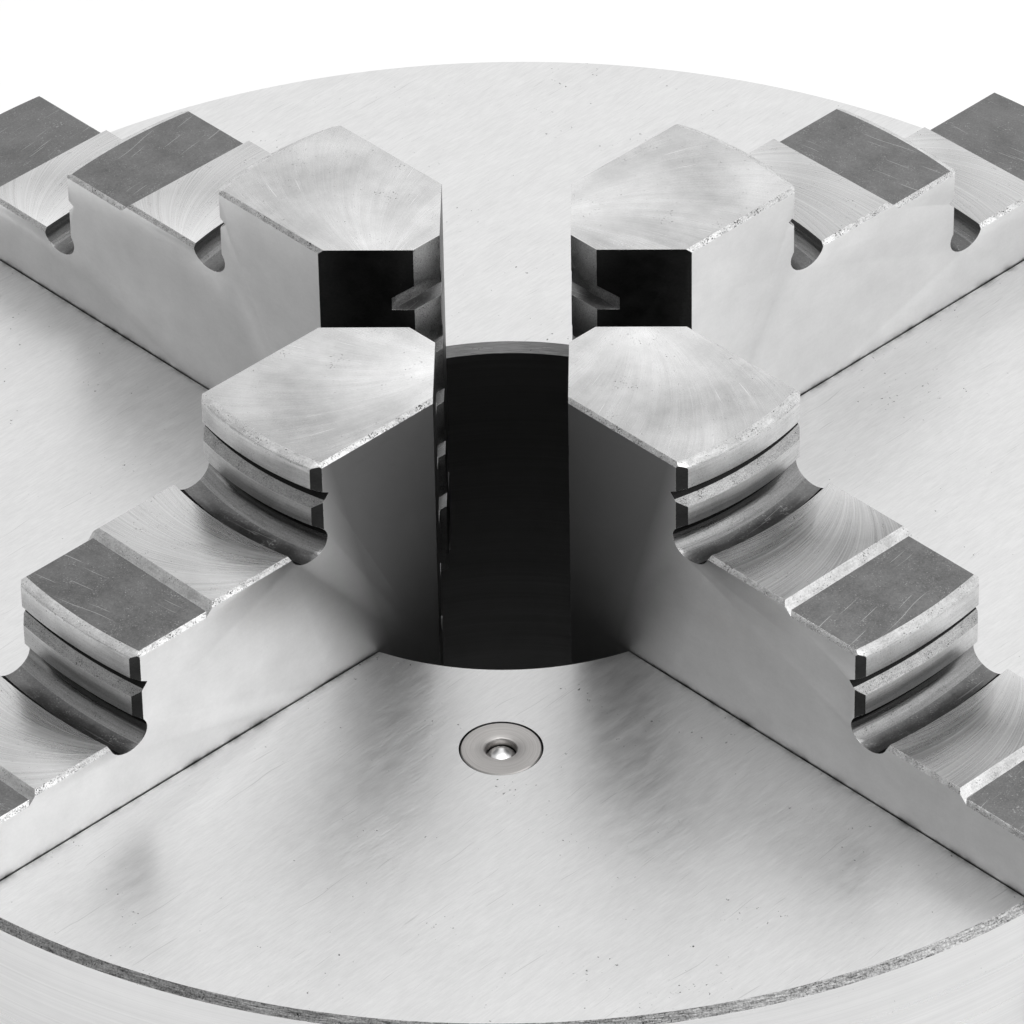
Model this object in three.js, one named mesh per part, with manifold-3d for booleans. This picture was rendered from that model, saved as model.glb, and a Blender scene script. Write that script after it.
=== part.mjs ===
// Four-jaw self-centring lathe chuck, 200 mm class.
// Origin at the centre of the rear mounting face, +Z out of the front face, millimetres.
import * as THREE from 'three';
import { mergeVertices } from 'three/addons/utils/BufferGeometryUtils.js';
import Module from 'manifold-3d';

const wasm = await Module();
wasm.setup();

// ---- driving dimensions -------------------------------------------------

// clearances
const fitGap = 0.3;            // between parts that seat on or slide in each other
const scrollGap = 0.5;         // axial and radial running gap of the scroll plate
const past = 1;                // how far a cutting tool runs past the face that it leaves
const cutterReach = 3;         // width of a milling cutter outside the edge that it cuts
const faceSkim = 0.01;         // keeps a cutter off a face that it would only touch
const joinOverlap = 0.5;       // how far two shapes run into each other before they join

// body
const bodyDiameter = 200;
const bodyHeight = 75;
const boreDiameter = 66;
const rimChamfer = 0.93;
const boreChamfer = 1.1;
const hubWall = 9.2;           // tube around the bore, which the scroll plate runs on
const webThickness = 19;       // front plate above the scroll chamber
const rimWall = 28;            // from the scroll chamber to the outside
const registerDiameter = 165;  // rear recess that centres the chuck on its back plate
const registerDepth = 5;
const mountCircle = 180;       // circle of the tapped holes in the rear face
const mountHoleRadius = 4.25;  // tapping size for M10
const mountHoleDepth = 20;
const mountHoleChamfer = 0.8;
const mountHolePoint = 2;      // drill point below the full depth

// jaws
const jawAngles = { jaw_front_right: -45, jaw_back_right: 45, jaw_back_left: 135, jaw_front_left: 225 };
const jawWidth = 21.26;
const jawNoseRadius = 13.79;   // from the chuck axis to the nose, as set at rest
const jawNoseWidth = 4.54;     // flat at the tip, between two 45 degree bevels
const jawStepRadii = [42.55, 71.75, 100.95];   // outer end of each step
const jawStepHeights = [32.81, 21.88, 9.76];   // above the front face
const landLengths = [11.09, 10.61];             // ground land of the second and third steps
const reliefDrop = 1;          // the milled rest of the step lies this much lower
const reliefSlope = 1;
const jawDepth = 19.5;         // below the front face, without the scroll teeth
const noseTopChamfer = 0.8;
const riserChamferRun = 1.2;
const riserChamferRise = 0.6;
const riserBand = 3;           // plain band between the top edge and the groove
const riserGrooveHeight = 2.8;
const riserGrooveDepth = 1.7;
const riserGrooveApex = 0.35;  // share of the groove's height above its deepest line
const riserCornerChamfer = 0.8;
const undercutBite = 1.3;      // into the riser
const undercutReach = 4.51;    // over the land
const undercutDepth = 2.25;
const nosePitch = 8.3;         // gripping serrations down the nose
const noseLand = 4.7;
const noseGrooveDepth = 2;
const noseGrooveSlope = 1.8;

// guides between a jaw and its slot
const guideHeight = 6;
const guideDepth = 3;
const guideBelowFace = 7;

// scroll
const scrollPitch = 10;
const scrollRidge = 4.4;
const scrollToothHeight = 5;
const scrollDisc = 8.5;
const jawTooth = 4;
const jawToothCount = 6;
const jawToothSetback = 7.2;   // least distance from the nose to the first tooth's middle

// bevel gears
const ringTeeth = 60;
const pinionTeeth = 10;
const gearOuterRadius = 60;    // outer end of the ring gear's teeth, from the chuck axis
const gearFace = 10.5;
const pressureAngle = THREE.MathUtils.degToRad(25);
const ringAddendum = 0.8;      // in modules
const pinionAddendum = 0.9;
const rootClearance = 0.25;
const backlash = 0.4;

// pinions
const pinionAngles = { right: 0, back: 90, left: 180, front: 270 };
const pinionRadius = 12;
const pinionInset = 1.5;       // outer end, inside the rim
const pinionChamfer = 1;
const journalRadius = 4.5;
const journalEngagement = 3;
const journalChamfer = 0.5;
const pinionHeadroom = 0.5;    // spare height under the scroll plate   // how far the inner journal enters the hub
const keySquare = 11;
const keyDepth = 20;
const retainerCircle = 178;    // circle of the pinion screws in the rear face
const retainerRadius = 4;
const retainerDog = 1.6;
const retainerGrooveDepth = 2;
const retainerSocket = 2.5;
const retainerSocketDepth = 4;
const retainerInset = 0.8;
const retainerPoint = 1;       // length of the cone above the thread
const retainerShoulderGap = 0.4;

// rear cover and its screws
const coverThickness = 9.7;
const coverScrewCircle = 154.4;
const coverScrewRadius = 2.5;
const coverHeadRadius = 4.25;
const coverHeadHeight = 4.6;
const coverHeadInset = 0.3;
const coverHeadChamfer = 0.4;
const coverSocket = 2.4;
const coverSocketDepth = 2.5;
const coverThread = 11;        // screw length in the body

// oiler
const oilerRadius = 4.94;
const oilerCircle = 98.4;
const oilerLength = 9;
const oilerBallRadius = 2.3;
const oilerMouthRadius = 1.9;
const oilerLip = 1;
const oilerCavityRadius = 2.8;
const oilerFloor = 1.4;
const oilPassage = 1.5;
const springWire = 0.25;
const springRadius = 1.75;
const springTurns = 3;
const springSteps = 10;        // straight lengths in each turn
const springSeat = 0.4;        // ball sits this far into the top turn

// ---- levels and radii that follow from them -----------------------------

const bodyRadius = bodyDiameter / 2;
const boreRadius = boreDiameter / 2;
const hubRadius = boreRadius + hubWall;
const chamberRadius = bodyRadius - rimWall;
const registerRadius = registerDiameter / 2;
const webUnderside = bodyHeight - webThickness;
const coverSeat = registerDepth + coverThickness + fitGap;
const jawHalf = jawWidth / 2;
const jawBase = bodyHeight - jawDepth;
const ridgeTop = jawBase - scrollGap;
const scrollFace = ridgeTop - scrollToothHeight;
const jawToothTip = scrollFace + scrollGap;
const slotFloor = jawToothTip - scrollGap;
const slotHalf = jawHalf + fitGap;
const scrollBore = hubRadius + fitGap;
const scrollRadius = chamberRadius - scrollGap;
const scrollBack = scrollFace - scrollDisc;
const ridgeStart = scrollBore + fitGap + scrollRidge / 2;
const scrollTurns = (scrollRadius - ridgeStart - scrollRidge / 2) / scrollPitch;
const moduleSize = 2 * gearOuterRadius / ringTeeth;
const coneSlope = pinionTeeth / ringTeeth;
const pinionPitch = gearOuterRadius * coneSlope;
const pinionTip = pinionPitch + pinionAddendum * moduleSize;
const pinionHeadOverrun = fitGap + pinionChamfer / 2;   // head runs this far into the shank
const pinionHeadEnd = pinionTip * (gearOuterRadius + pinionHeadOverrun) / gearOuterRadius;
const pinionBore = pinionRadius + fitGap;
const pinionHeight = scrollBack - scrollGap - Math.max(pinionRadius, pinionHeadEnd) - pinionHeadroom;
const gearInnerRadius = gearOuterRadius - gearFace;
const retainerAt = retainerCircle / 2;
const fineRound = 60;           // facets of a full turn, by size
const spiralRound = 40;
const bearingRound = 30;
const smallRound = 20;

// ---- solids from three.js geometry --------------------------------------

function solid(geometry) {
  geometry.deleteAttribute('normal');
  geometry.deleteAttribute('uv');
  const merged = mergeVertices(geometry);
  return new wasm.Manifold(new wasm.Mesh({
    numProp: 3,
    vertProperties: new Float32Array(merged.attributes.position.array),
    triVerts: new Uint32Array(merged.index.array),
  }));
}

function outline(points) {
  return new THREE.Shape(points.map(([u, v]) => new THREE.Vector2(u, v)));
}

// outline in (x, y), from low to high z
function prismZ(points, low, high) {
  const geometry = new THREE.ExtrudeGeometry(outline(points), { depth: high - low, bevelEnabled: false });
  return solid(geometry.translate(0, 0, low));
}

// outline in (y, z), from low to high x
function prismX(points, low, high) {
  const geometry = new THREE.ExtrudeGeometry(outline(points), { depth: high - low, bevelEnabled: false });
  geometry.rotateX(Math.PI / 2).rotateZ(Math.PI / 2);
  return solid(geometry.translate(low, 0, 0));
}

// outline in (x, z), the same on both sides of y = 0
function prismY(points, half) {
  const geometry = new THREE.ExtrudeGeometry(outline(points), { depth: 2 * half, bevelEnabled: false });
  return solid(geometry.rotateX(Math.PI / 2).translate(0, half, 0));
}

// closed outline in (radius, z), turned about the z axis
function turned(points, segments) {
  const profile = points.map(([radius, z]) => new THREE.Vector2(radius, z));
  if (THREE.ShapeUtils.isClockWise(profile)) profile.reverse();
  profile.push(profile[0].clone());
  return solid(new THREE.LatheGeometry(profile, segments).rotateX(Math.PI / 2));
}

function rod(radius, low, high, segments) {
  return turned([[0, low], [radius, low], [radius, high], [0, high]], segments);
}

function around(piece, degrees) {
  return piece.rotate([0, 0, degrees]);
}

// lays a piece made on the z axis along the x axis
function alongX(piece) {
  return piece.rotate([0, 90, 0]);
}

function hexagon(acrossCorners) {
  return Array.from({ length: 6 }, (_, i) => {
    const angle = i * Math.PI / 3;
    return [acrossCorners * Math.cos(angle), acrossCorners * Math.sin(angle)];
  });
}

const chuck = new THREE.Group();

function addPiece(name, piece, look, place = {}) {
  const mesh = piece.getMesh();
  const geometry = new THREE.BufferGeometry();
  geometry.setAttribute('position', new THREE.BufferAttribute(mesh.vertProperties, 3));
  geometry.setIndex(new THREE.BufferAttribute(mesh.triVerts, 1));
  geometry.computeVertexNormals();
  const node = new THREE.Mesh(geometry, look);
  node.name = name;
  node.position.set(place.x ?? 0, place.y ?? 0, place.z ?? 0);
  node.rotation.z = THREE.MathUtils.degToRad(place.turn ?? 0);
  chuck.add(node);
}

function metal(color, roughness) {
  return new THREE.MeshStandardMaterial({ color, roughness, metalness: 1 });
}

const looks = {
  body: metal(0xc9c9c6, 0.38),
  jaw: metal(0xb9b9b8, 0.3),
  scroll: metal(0x8f8f8d, 0.45),
  pinion: metal(0x6f6f70, 0.4),
  cover: metal(0x9c9c9a, 0.42),
  screw: metal(0x2d2d2f, 0.5),
  oiler: metal(0xcfc8ba, 0.35),
  ball: metal(0xe6e6e6, 0.08),
  spring: metal(0xa0a0a0, 0.3),
};

// ---- body ---------------------------------------------------------------

// T-shaped channel of a jaw, as the material that is cut away
function slotCutter() {
  const tongueTip = jawHalf - guideDepth + fitGap;
  const tongueTop = bodyHeight - guideBelowFace - fitGap;
  const tongueBottom = bodyHeight - guideBelowFace - guideHeight + fitGap;
  const rightSide = [
    [slotHalf, slotFloor], [slotHalf, tongueBottom], [tongueTip, tongueBottom],
    [tongueTip, tongueTop], [slotHalf, tongueTop], [slotHalf, bodyHeight + past],
  ];
  const leftSide = rightSide.map(([y, z]) => [-y, z]).reverse();
  return prismX([...rightSide, ...leftSide], 0, bodyRadius + past);
}

function tappedHole() {
  return turned([
    [0, -past], [mountHoleRadius + mountHoleChamfer + past, -past], [mountHoleRadius, mountHoleChamfer],
    [mountHoleRadius, mountHoleDepth], [0, mountHoleDepth + mountHolePoint],
  ], smallRound);
}

function makeBody() {
  let body = turned([
    [boreRadius, registerDepth], [hubRadius, registerDepth], [hubRadius, webUnderside],
    [chamberRadius, webUnderside], [chamberRadius, coverSeat], [registerRadius, coverSeat],
    [registerRadius, 0], [bodyRadius - rimChamfer, 0], [bodyRadius, rimChamfer],
    [bodyRadius, bodyHeight - rimChamfer], [bodyRadius - rimChamfer, bodyHeight],
    [boreRadius + boreChamfer, bodyHeight], [boreRadius, bodyHeight - boreChamfer],
  ], fineRound);
  const slot = slotCutter();
  const hole = tappedHole().translate([mountCircle / 2, 0, 0]);
  const coverHole = rod(coverScrewRadius + fitGap, coverSeat - past,
    coverSeat + coverThread + past, smallRound).translate([coverScrewCircle / 2, 0, 0]);
  for (const angle of Object.values(jawAngles)) {
    body = body.subtract(around(slot, angle));
    body = body.subtract(around(hole, angle));
    body = body.subtract(around(coverHole, angle));
  }
  const bearing = alongX(rod(pinionBore, gearOuterRadius, bodyRadius + past, bearingRound));
  const journalHole = alongX(rod(journalRadius + fitGap, hubRadius - journalEngagement - fitGap,
    hubRadius + past, smallRound));
  const retainerHole = rod(retainerRadius + fitGap, -past, pinionHeight, smallRound)
    .translate([retainerAt, 0, 0]);
  for (const angle of Object.values(pinionAngles)) {
    body = body.subtract(around(bearing.translate([0, 0, pinionHeight]), angle));
    body = body.subtract(around(journalHole.translate([0, 0, pinionHeight]), angle));
    body = body.subtract(around(retainerHole, angle));
  }
  const oilerHole = turned([
    [0, webUnderside - past], [oilPassage, webUnderside - past],
    [oilPassage, bodyHeight - oilerLength - fitGap], [oilerRadius + fitGap, bodyHeight - oilerLength - fitGap],
    [oilerRadius + fitGap, bodyHeight + past], [0, bodyHeight + past],
  ], smallRound);
  return body.subtract(oilerHole.translate([0, -oilerCircle / 2, 0]));
}

addPiece('chuck_body', makeBody(), looks.body);

// ---- jaws ---------------------------------------------------------------

// side view of the three steps, in (x, z)
function jawSideProfile() {
  const [first, second, third] = jawStepHeights.map((height) => bodyHeight + height);
  const [firstEnd, secondEnd, thirdEnd] = jawStepRadii;
  const secondLand = firstEnd + undercutReach + landLengths[0];
  const thirdLand = secondEnd + undercutReach + landLengths[1];
  return [
    [jawNoseRadius, jawBase], [thirdEnd, jawBase], [thirdEnd, third - reliefDrop],
    [thirdLand + reliefSlope, third - reliefDrop], [thirdLand, third], [secondEnd, third],
    [secondEnd, second - reliefDrop], [secondLand + reliefSlope, second - reliefDrop],
    [secondLand, second], [firstEnd, second], [firstEnd, first],
    [jawNoseRadius + noseTopChamfer, first], [jawNoseRadius, first - noseTopChamfer],
  ];
}

// flanks with the guide grooves, in (y, z)
function jawSection() {
  const grooveTop = bodyHeight - guideBelowFace;
  const grooveBottom = grooveTop - guideHeight;
  const rightSide = [
    [jawHalf, jawBase], [jawHalf, grooveBottom], [jawHalf - guideDepth, grooveBottom],
    [jawHalf - guideDepth, grooveTop], [jawHalf, grooveTop], [jawHalf, bodyHeight + jawStepHeights[0] + past],
  ];
  const leftSide = rightSide.map(([y, z]) => [-y, z]).reverse();
  return [...rightSide, ...leftSide];
}

// plan view with the bevelled nose, in (x, y)
function jawPlan() {
  const noseHalf = jawNoseWidth / 2;
  const shoulder = jawNoseRadius + jawHalf - noseHalf;
  const end = jawStepRadii[2] + past;
  return [
    [jawNoseRadius, -noseHalf], [shoulder, -jawHalf - faceSkim], [end, -jawHalf - past],
    [end, jawHalf + past], [shoulder, jawHalf + faceSkim], [jawNoseRadius, noseHalf],
  ];
}

// tool that shapes one riser: round face, top chamfer, V groove and the undercut at its foot
function riserCutter(radius, top, land) {
  const centre = radius - undercutBite + (undercutBite + undercutReach) / 2;
  const halfWidth = (undercutBite + undercutReach) / 2;
  const start = Math.acos((radius - centre) / halfWidth);
  const channel = Array.from({ length: 9 }, (_, i) => {
    const angle = start + (2 * Math.PI - start) * i / 8;
    return [centre + halfWidth * Math.cos(angle), land + undercutDepth * Math.sin(angle)];
  });
  const grooveTop = top - riserChamferRise - riserBand;
  return turned([
    [radius - riserChamferRun, top + past / 10], [radius - riserChamferRun, top],
    [radius, top - riserChamferRise], [radius, grooveTop],
    [radius - riserGrooveDepth, grooveTop - riserGrooveHeight * riserGrooveApex],
    [radius, grooveTop - riserGrooveHeight],
    ...channel, [radius + undercutReach, top + past / 10],
  ], fineRound);
}

// upright 45 degree chamfer on one corner of a riser
function cornerCutter(radius, top, land) {
  const corner = Math.sqrt(radius ** 2 - jawHalf ** 2) - riserCornerChamfer;
  const reach = riserCornerChamfer + cutterReach;
  return prismZ([
    [corner, jawHalf], [corner + reach, jawHalf - reach],
    [corner + reach, jawHalf + past], [corner, jawHalf + past],
  ], land, top + past);
}

function noseGroove(top) {
  return prismY([
    [jawNoseRadius - past, top], [jawNoseRadius, top],
    [jawNoseRadius + noseGrooveDepth, top - noseGrooveSlope],
    [jawNoseRadius + noseGrooveDepth, top - nosePitch + noseLand],
    [jawNoseRadius - past, top - nosePitch + noseLand],
  ], jawHalf + past);
}

// tooth that runs in the scroll: its flanks suit the tightest and the widest turn of the spiral
function scrollTooth(middle) {
  const tight = ridgeStart;
  const wide = scrollRadius;
  const steps = 6;
  const across = Array.from({ length: steps + 1 }, (_, i) => jawHalf * (2 * i / steps - 1));
  const outer = across.map((y) => [middle + jawTooth / 2 - tight + Math.sqrt(tight ** 2 - y ** 2), y]);
  const inner = across.map((y) => [middle - jawTooth / 2 - wide + Math.sqrt(wide ** 2 - y ** 2), y]);
  return prismZ([...outer, ...inner.reverse()], jawToothTip, jawBase + past);
}

// middle of the first groove of the scroll that lies behind the nose, on the line of a jaw
function firstToothAt(degrees) {
  const groove = ridgeStart + scrollPitch / 2 + scrollPitch * degrees / 360;
  const least = jawNoseRadius + jawToothSetback;
  return groove - scrollPitch * Math.floor((groove - least) / scrollPitch);
}

function makeJaw(degrees) {
  let jaw = prismX(jawSection(), jawNoseRadius, jawStepRadii[2]);
  jaw = jaw.intersect(prismY(jawSideProfile(), jawHalf + past));
  const firstTooth = firstToothAt(degrees);
  for (let i = 0; i < jawToothCount; i += 1) {
    jaw = jaw.add(scrollTooth(firstTooth + i * scrollPitch));
  }
  jaw = jaw.intersect(prismZ(jawPlan(), jawToothTip - past, bodyHeight + jawStepHeights[0] + past));
  for (let i = 0; i < 2; i += 1) {
    const top = bodyHeight + jawStepHeights[i] - (i > 0 ? reliefDrop : 0);
    const land = bodyHeight + jawStepHeights[i + 1];
    jaw = jaw.subtract(riserCutter(jawStepRadii[i], top, land));
    const corner = cornerCutter(jawStepRadii[i], top, land);
    jaw = jaw.subtract(corner).subtract(corner.mirror([0, 1, 0]));
  }
  const endCutter = turned([
    [jawStepRadii[2], jawToothTip - past], [jawStepRadii[2] + cutterReach, jawToothTip - past],
    [jawStepRadii[2] + cutterReach, bodyHeight + jawStepHeights[2]], [jawStepRadii[2], bodyHeight + jawStepHeights[2]],
  ], fineRound);
  jaw = jaw.subtract(endCutter);
  const firstGroove = bodyHeight + jawStepHeights[0] - noseTopChamfer - noseLand;
  for (let top = firstGroove; top - nosePitch > jawBase; top -= nosePitch) {
    jaw = jaw.subtract(noseGroove(top));
  }
  return jaw;
}

for (const [name, angle] of Object.entries(jawAngles)) {
  addPiece(name, makeJaw(angle), looks.jaw, { turn: angle });
}

// ---- scroll plate -------------------------------------------------------

function spiralRidge() {
  const steps = Math.round(scrollTurns * spiralRound);
  const edge = (side) => Array.from({ length: steps + 1 }, (_, i) => {
    const angle = 2 * Math.PI * scrollTurns * i / steps;
    const radius = ridgeStart + scrollPitch * angle / (2 * Math.PI) + side * scrollRidge / 2;
    return [radius * Math.cos(angle), radius * Math.sin(angle)];
  });
  return prismZ([...edge(1), ...edge(-1).reverse()], scrollFace - past, ridgeTop);
}

// one tooth of the ring gear, tapering towards the point where the gear axes cross
function ringTooth() {
  const tooth = new THREE.BoxGeometry(2, 2, 2);
  const place = tooth.attributes.position;
  const dedendum = pinionAddendum + rootClearance;
  for (let i = 0; i < place.count; i += 1) {
    const radius = place.getX(i) > 0 ? gearOuterRadius : gearInnerRadius;
    const scale = radius / gearOuterRadius;
    const height = (place.getZ(i) > 0 ? dedendum : -ringAddendum) * moduleSize;
    const half = (Math.PI * moduleSize / 2 - backlash) / 2 + height * Math.tan(pressureAngle);
    const lift = place.getZ(i) > 0 ? joinOverlap : 0;
    place.setXYZ(i, radius, Math.sign(place.getY(i)) * half * scale,
      pinionHeight + radius * coneSlope + height * scale + lift);
  }
  return solid(tooth);
}

function makeScroll() {
  const rootDepth = (pinionAddendum + rootClearance) * moduleSize;
  const rootAt = (radius) => pinionHeight + radius * coneSlope + rootDepth * radius / gearOuterRadius;
  let scroll = turned([
    [scrollBore, rootAt(gearInnerRadius)], [gearInnerRadius, rootAt(gearInnerRadius)],
    [gearOuterRadius, rootAt(gearOuterRadius)], [gearOuterRadius, scrollBack],
    [scrollRadius, scrollBack], [scrollRadius, scrollFace], [scrollBore, scrollFace],
  ], fineRound);
  scroll = scroll.add(spiralRidge());
  const tooth = ringTooth();
  for (let i = 0; i < ringTeeth; i += 1) {
    scroll = scroll.add(around(tooth, (i + 0.5) * 360 / ringTeeth));
  }
  return scroll;
}

addPiece('scroll_plate', makeScroll(), looks.scroll);

// ---- pinions ------------------------------------------------------------

const involute = (angle) => Math.tan(angle) - angle;

// involute outline of the pinion at the big end of its teeth
function pinionOutline() {
  const base = pinionPitch * Math.cos(pressureAngle);
  const root = pinionPitch - (ringAddendum + rootClearance) * moduleSize;
  const pitchHalf = Math.PI / (2 * pinionTeeth) - backlash / 2 / pinionPitch;
  const halfAngle = (radius) => pitchHalf + involute(pressureAngle) - involute(Math.acos(base / radius));
  const radii = [base, pinionPitch, (pinionPitch + pinionTip) / 2, pinionTip];
  const points = [];
  for (let i = 0; i < pinionTeeth; i += 1) {
    const middle = 2 * Math.PI * i / pinionTeeth + Math.PI / 2;
    const rising = radii.map((radius) => [radius, middle - halfAngle(radius)]);
    const falling = radii.map((radius) => [radius, middle + halfAngle(radius)]).reverse();
    const flank = [[root, middle - halfAngle(base)], ...rising, ...falling, [root, middle + halfAngle(base)]];
    points.push(...flank.map(([radius, angle]) => [radius * Math.cos(angle), radius * Math.sin(angle)]));
  }
  return points;
}

// toothed head on the x axis, tapering towards the chuck axis
function pinionHead() {
  const length = gearFace + pinionHeadOverrun;
  const head = new THREE.ExtrudeGeometry(outline(pinionOutline()), { depth: length, bevelEnabled: false });
  const place = head.attributes.position;
  for (let i = 0; i < place.count; i += 1) {
    const radius = gearInnerRadius + place.getZ(i);
    const scale = radius / gearOuterRadius;
    place.setXYZ(i, place.getX(i) * scale, place.getY(i) * scale, radius);
  }
  return solid(head.rotateX(Math.PI / 2).rotateZ(Math.PI / 2));
}

function makePinion() {
  const end = bodyRadius - pinionInset;
  const groove = pinionRadius - retainerGrooveDepth;
  const grooveHalf = retainerDog + fitGap;
  const inner = hubRadius - journalEngagement;
  const shank = alongX(turned([
    [0, gearOuterRadius + fitGap], [pinionRadius, gearOuterRadius + fitGap],
    [pinionRadius, retainerAt - grooveHalf],
    [groove, retainerAt - grooveHalf], [groove, retainerAt + grooveHalf],
    [pinionRadius, retainerAt + grooveHalf], [pinionRadius, end - pinionChamfer],
    [pinionRadius - pinionChamfer, end], [0, end],
  ], smallRound));
  const journal = alongX(turned([
    [0, inner], [journalRadius - journalChamfer, inner], [journalRadius, inner + journalChamfer],
    [journalRadius, gearInnerRadius + joinOverlap], [0, gearInnerRadius + joinOverlap],
  ], smallRound));
  const half = keySquare / 2;
  const socket = prismX([[-half, -half], [half, -half], [half, half], [-half, half]], end - keyDepth, end + past);
  return shank.add(journal).add(pinionHead()).subtract(socket);
}

// dog-point set screw, from the rear face into the pinion's groove
function makeRetainer() {
  const dogEnd = pinionHeight - pinionRadius + retainerGrooveDepth - fitGap;
  const bodyEnd = pinionHeight - pinionRadius - fitGap - retainerShoulderGap;
  const screw = turned([
    [0, retainerInset], [retainerRadius, retainerInset], [retainerRadius, bodyEnd - retainerPoint],
    [retainerDog, bodyEnd], [retainerDog, dogEnd], [0, dogEnd],
  ], smallRound);
  return screw.subtract(prismZ(hexagon(retainerSocket), retainerInset - past, retainerInset + retainerSocketDepth));
}

const pinion = makePinion();
const retainer = makeRetainer();
for (const [side, angle] of Object.entries(pinionAngles)) {
  const radians = THREE.MathUtils.degToRad(angle);
  addPiece(`pinion_${side}`, pinion, looks.pinion, { z: pinionHeight, turn: angle });
  addPiece(`pinion_screw_${side}`, retainer, looks.screw,
    { x: retainerAt * Math.cos(radians), y: retainerAt * Math.sin(radians), turn: angle });
}

// ---- rear cover ---------------------------------------------------------

const headSeat = registerDepth + coverHeadInset + coverHeadHeight;

function makeCover() {
  let cover = turned([
    [hubRadius + fitGap, registerDepth], [registerRadius - fitGap, registerDepth],
    [registerRadius - fitGap, registerDepth + coverThickness], [hubRadius + fitGap, registerDepth + coverThickness],
  ], fineRound);
  const hole = turned([
    [0, registerDepth - past], [coverHeadRadius + fitGap, registerDepth - past],
    [coverHeadRadius + fitGap, headSeat + fitGap], [coverScrewRadius + fitGap, headSeat + fitGap],
    [coverScrewRadius + fitGap, coverSeat + past], [0, coverSeat + past],
  ], smallRound).translate([coverScrewCircle / 2, 0, 0]);
  for (const angle of Object.values(jawAngles)) {
    cover = cover.subtract(around(hole, angle));
  }
  return cover;
}

function makeCoverScrew() {
  const head = registerDepth + coverHeadInset;
  const screw = turned([
    [0, head], [coverHeadRadius - coverHeadChamfer, head], [coverHeadRadius, head + coverHeadChamfer], [coverHeadRadius, headSeat],
    [coverScrewRadius, headSeat], [coverScrewRadius, coverSeat + coverThread], [0, coverSeat + coverThread],
  ], smallRound);
  return screw.subtract(prismZ(hexagon(coverSocket), head - past, head + coverSocketDepth));
}

addPiece('rear_cover', makeCover(), looks.cover);
const coverScrew = makeCoverScrew();
for (const [name, angle] of Object.entries(jawAngles)) {
  const radians = THREE.MathUtils.degToRad(angle);
  addPiece(name.replace('jaw', 'cover_screw'), coverScrew, looks.screw, {
    x: coverScrewCircle / 2 * Math.cos(radians), y: coverScrewCircle / 2 * Math.sin(radians), turn: angle,
  });
}

// ---- ball oiler ---------------------------------------------------------

const oilerBottom = bodyHeight - oilerLength;
const ballSeat = Math.sqrt(oilerBallRadius ** 2 - oilerMouthRadius ** 2);
const ballHeight = bodyHeight - oilerLip - ballSeat - fitGap;
const oilerPlace = { y: -oilerCircle / 2 };

function makeOilerBody() {
  return turned([
    [oilPassage, oilerBottom], [oilerRadius, oilerBottom], [oilerRadius, bodyHeight],
    [oilerMouthRadius, bodyHeight], [oilerMouthRadius, bodyHeight - oilerLip],
    [oilerCavityRadius, bodyHeight - oilerLip], [oilerCavityRadius, oilerBottom + oilerFloor],
    [oilPassage, oilerBottom + oilerFloor],
  ], smallRound);
}

function makeSpring() {
  const foot = oilerBottom + oilerFloor + fitGap + springWire;
  const top = ballHeight - oilerBallRadius + springSeat;
  const turns = Array.from({ length: springTurns * springSteps + 1 }, (_, i) => {
    const angle = 2 * Math.PI * i / 10;
    const height = foot + (top - foot) * i / (springTurns * springSteps);
    return new THREE.Vector3(springRadius * Math.cos(angle), springRadius * Math.sin(angle), height);
  });
  const section = Array.from({ length: 6 }, (_, i) => {
    const angle = i * Math.PI / 3;
    return [springWire * Math.cos(angle), springWire * Math.sin(angle)];
  });
  return solid(new THREE.ExtrudeGeometry(outline(section), {
    steps: springTurns * springSteps, bevelEnabled: false, extrudePath: new THREE.CatmullRomCurve3(turns),
  }));
}

function makeBall() {
  return solid(new THREE.SphereGeometry(oilerBallRadius, 20, 12).rotateX(Math.PI / 2).translate(0, 0, ballHeight));
}

addPiece('oiler_body', makeOilerBody(), looks.oiler, oilerPlace);
addPiece('oiler_ball', makeBall(), looks.ball, oilerPlace);
addPiece('oiler_spring', makeSpring(), looks.spring, oilerPlace);

export default chuck;
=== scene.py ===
import math

import bpy
from mathutils import Matrix, Vector


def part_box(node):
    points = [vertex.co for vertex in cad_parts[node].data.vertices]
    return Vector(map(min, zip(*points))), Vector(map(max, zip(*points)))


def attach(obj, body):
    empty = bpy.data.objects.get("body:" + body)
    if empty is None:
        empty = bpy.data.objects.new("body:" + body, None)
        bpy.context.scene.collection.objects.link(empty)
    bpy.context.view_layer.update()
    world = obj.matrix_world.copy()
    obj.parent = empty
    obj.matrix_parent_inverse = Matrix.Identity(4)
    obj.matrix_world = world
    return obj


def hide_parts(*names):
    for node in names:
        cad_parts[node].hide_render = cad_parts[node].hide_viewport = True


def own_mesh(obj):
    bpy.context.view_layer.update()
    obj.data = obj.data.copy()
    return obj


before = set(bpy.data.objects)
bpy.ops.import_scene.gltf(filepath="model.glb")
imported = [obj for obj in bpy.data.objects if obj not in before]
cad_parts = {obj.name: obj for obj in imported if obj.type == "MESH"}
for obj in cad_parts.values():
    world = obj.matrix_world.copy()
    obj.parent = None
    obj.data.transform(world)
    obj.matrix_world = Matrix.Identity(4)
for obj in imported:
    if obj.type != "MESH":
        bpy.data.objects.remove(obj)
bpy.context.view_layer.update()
mm = 0.001
past = 1  # how far a cutting tool stands past the metal, in millimetres
jawTurns = {"jaw_front_right": -45, "jaw_back_right": 45, "jaw_back_left": 135, "jaw_front_left": 225}
sideTurns = {"right": 0, "back": 90, "left": 180, "front": 270}


# small helpers around the usual operators

def takeUp(piece):
    bpy.ops.object.select_all(action="DESELECT")
    piece.select_set(True)
    bpy.context.view_layer.objects.active = piece


def editAll(piece):
    takeUp(piece)
    bpy.ops.object.mode_set(mode="EDIT")
    bpy.ops.mesh.select_all(action="SELECT")


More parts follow.
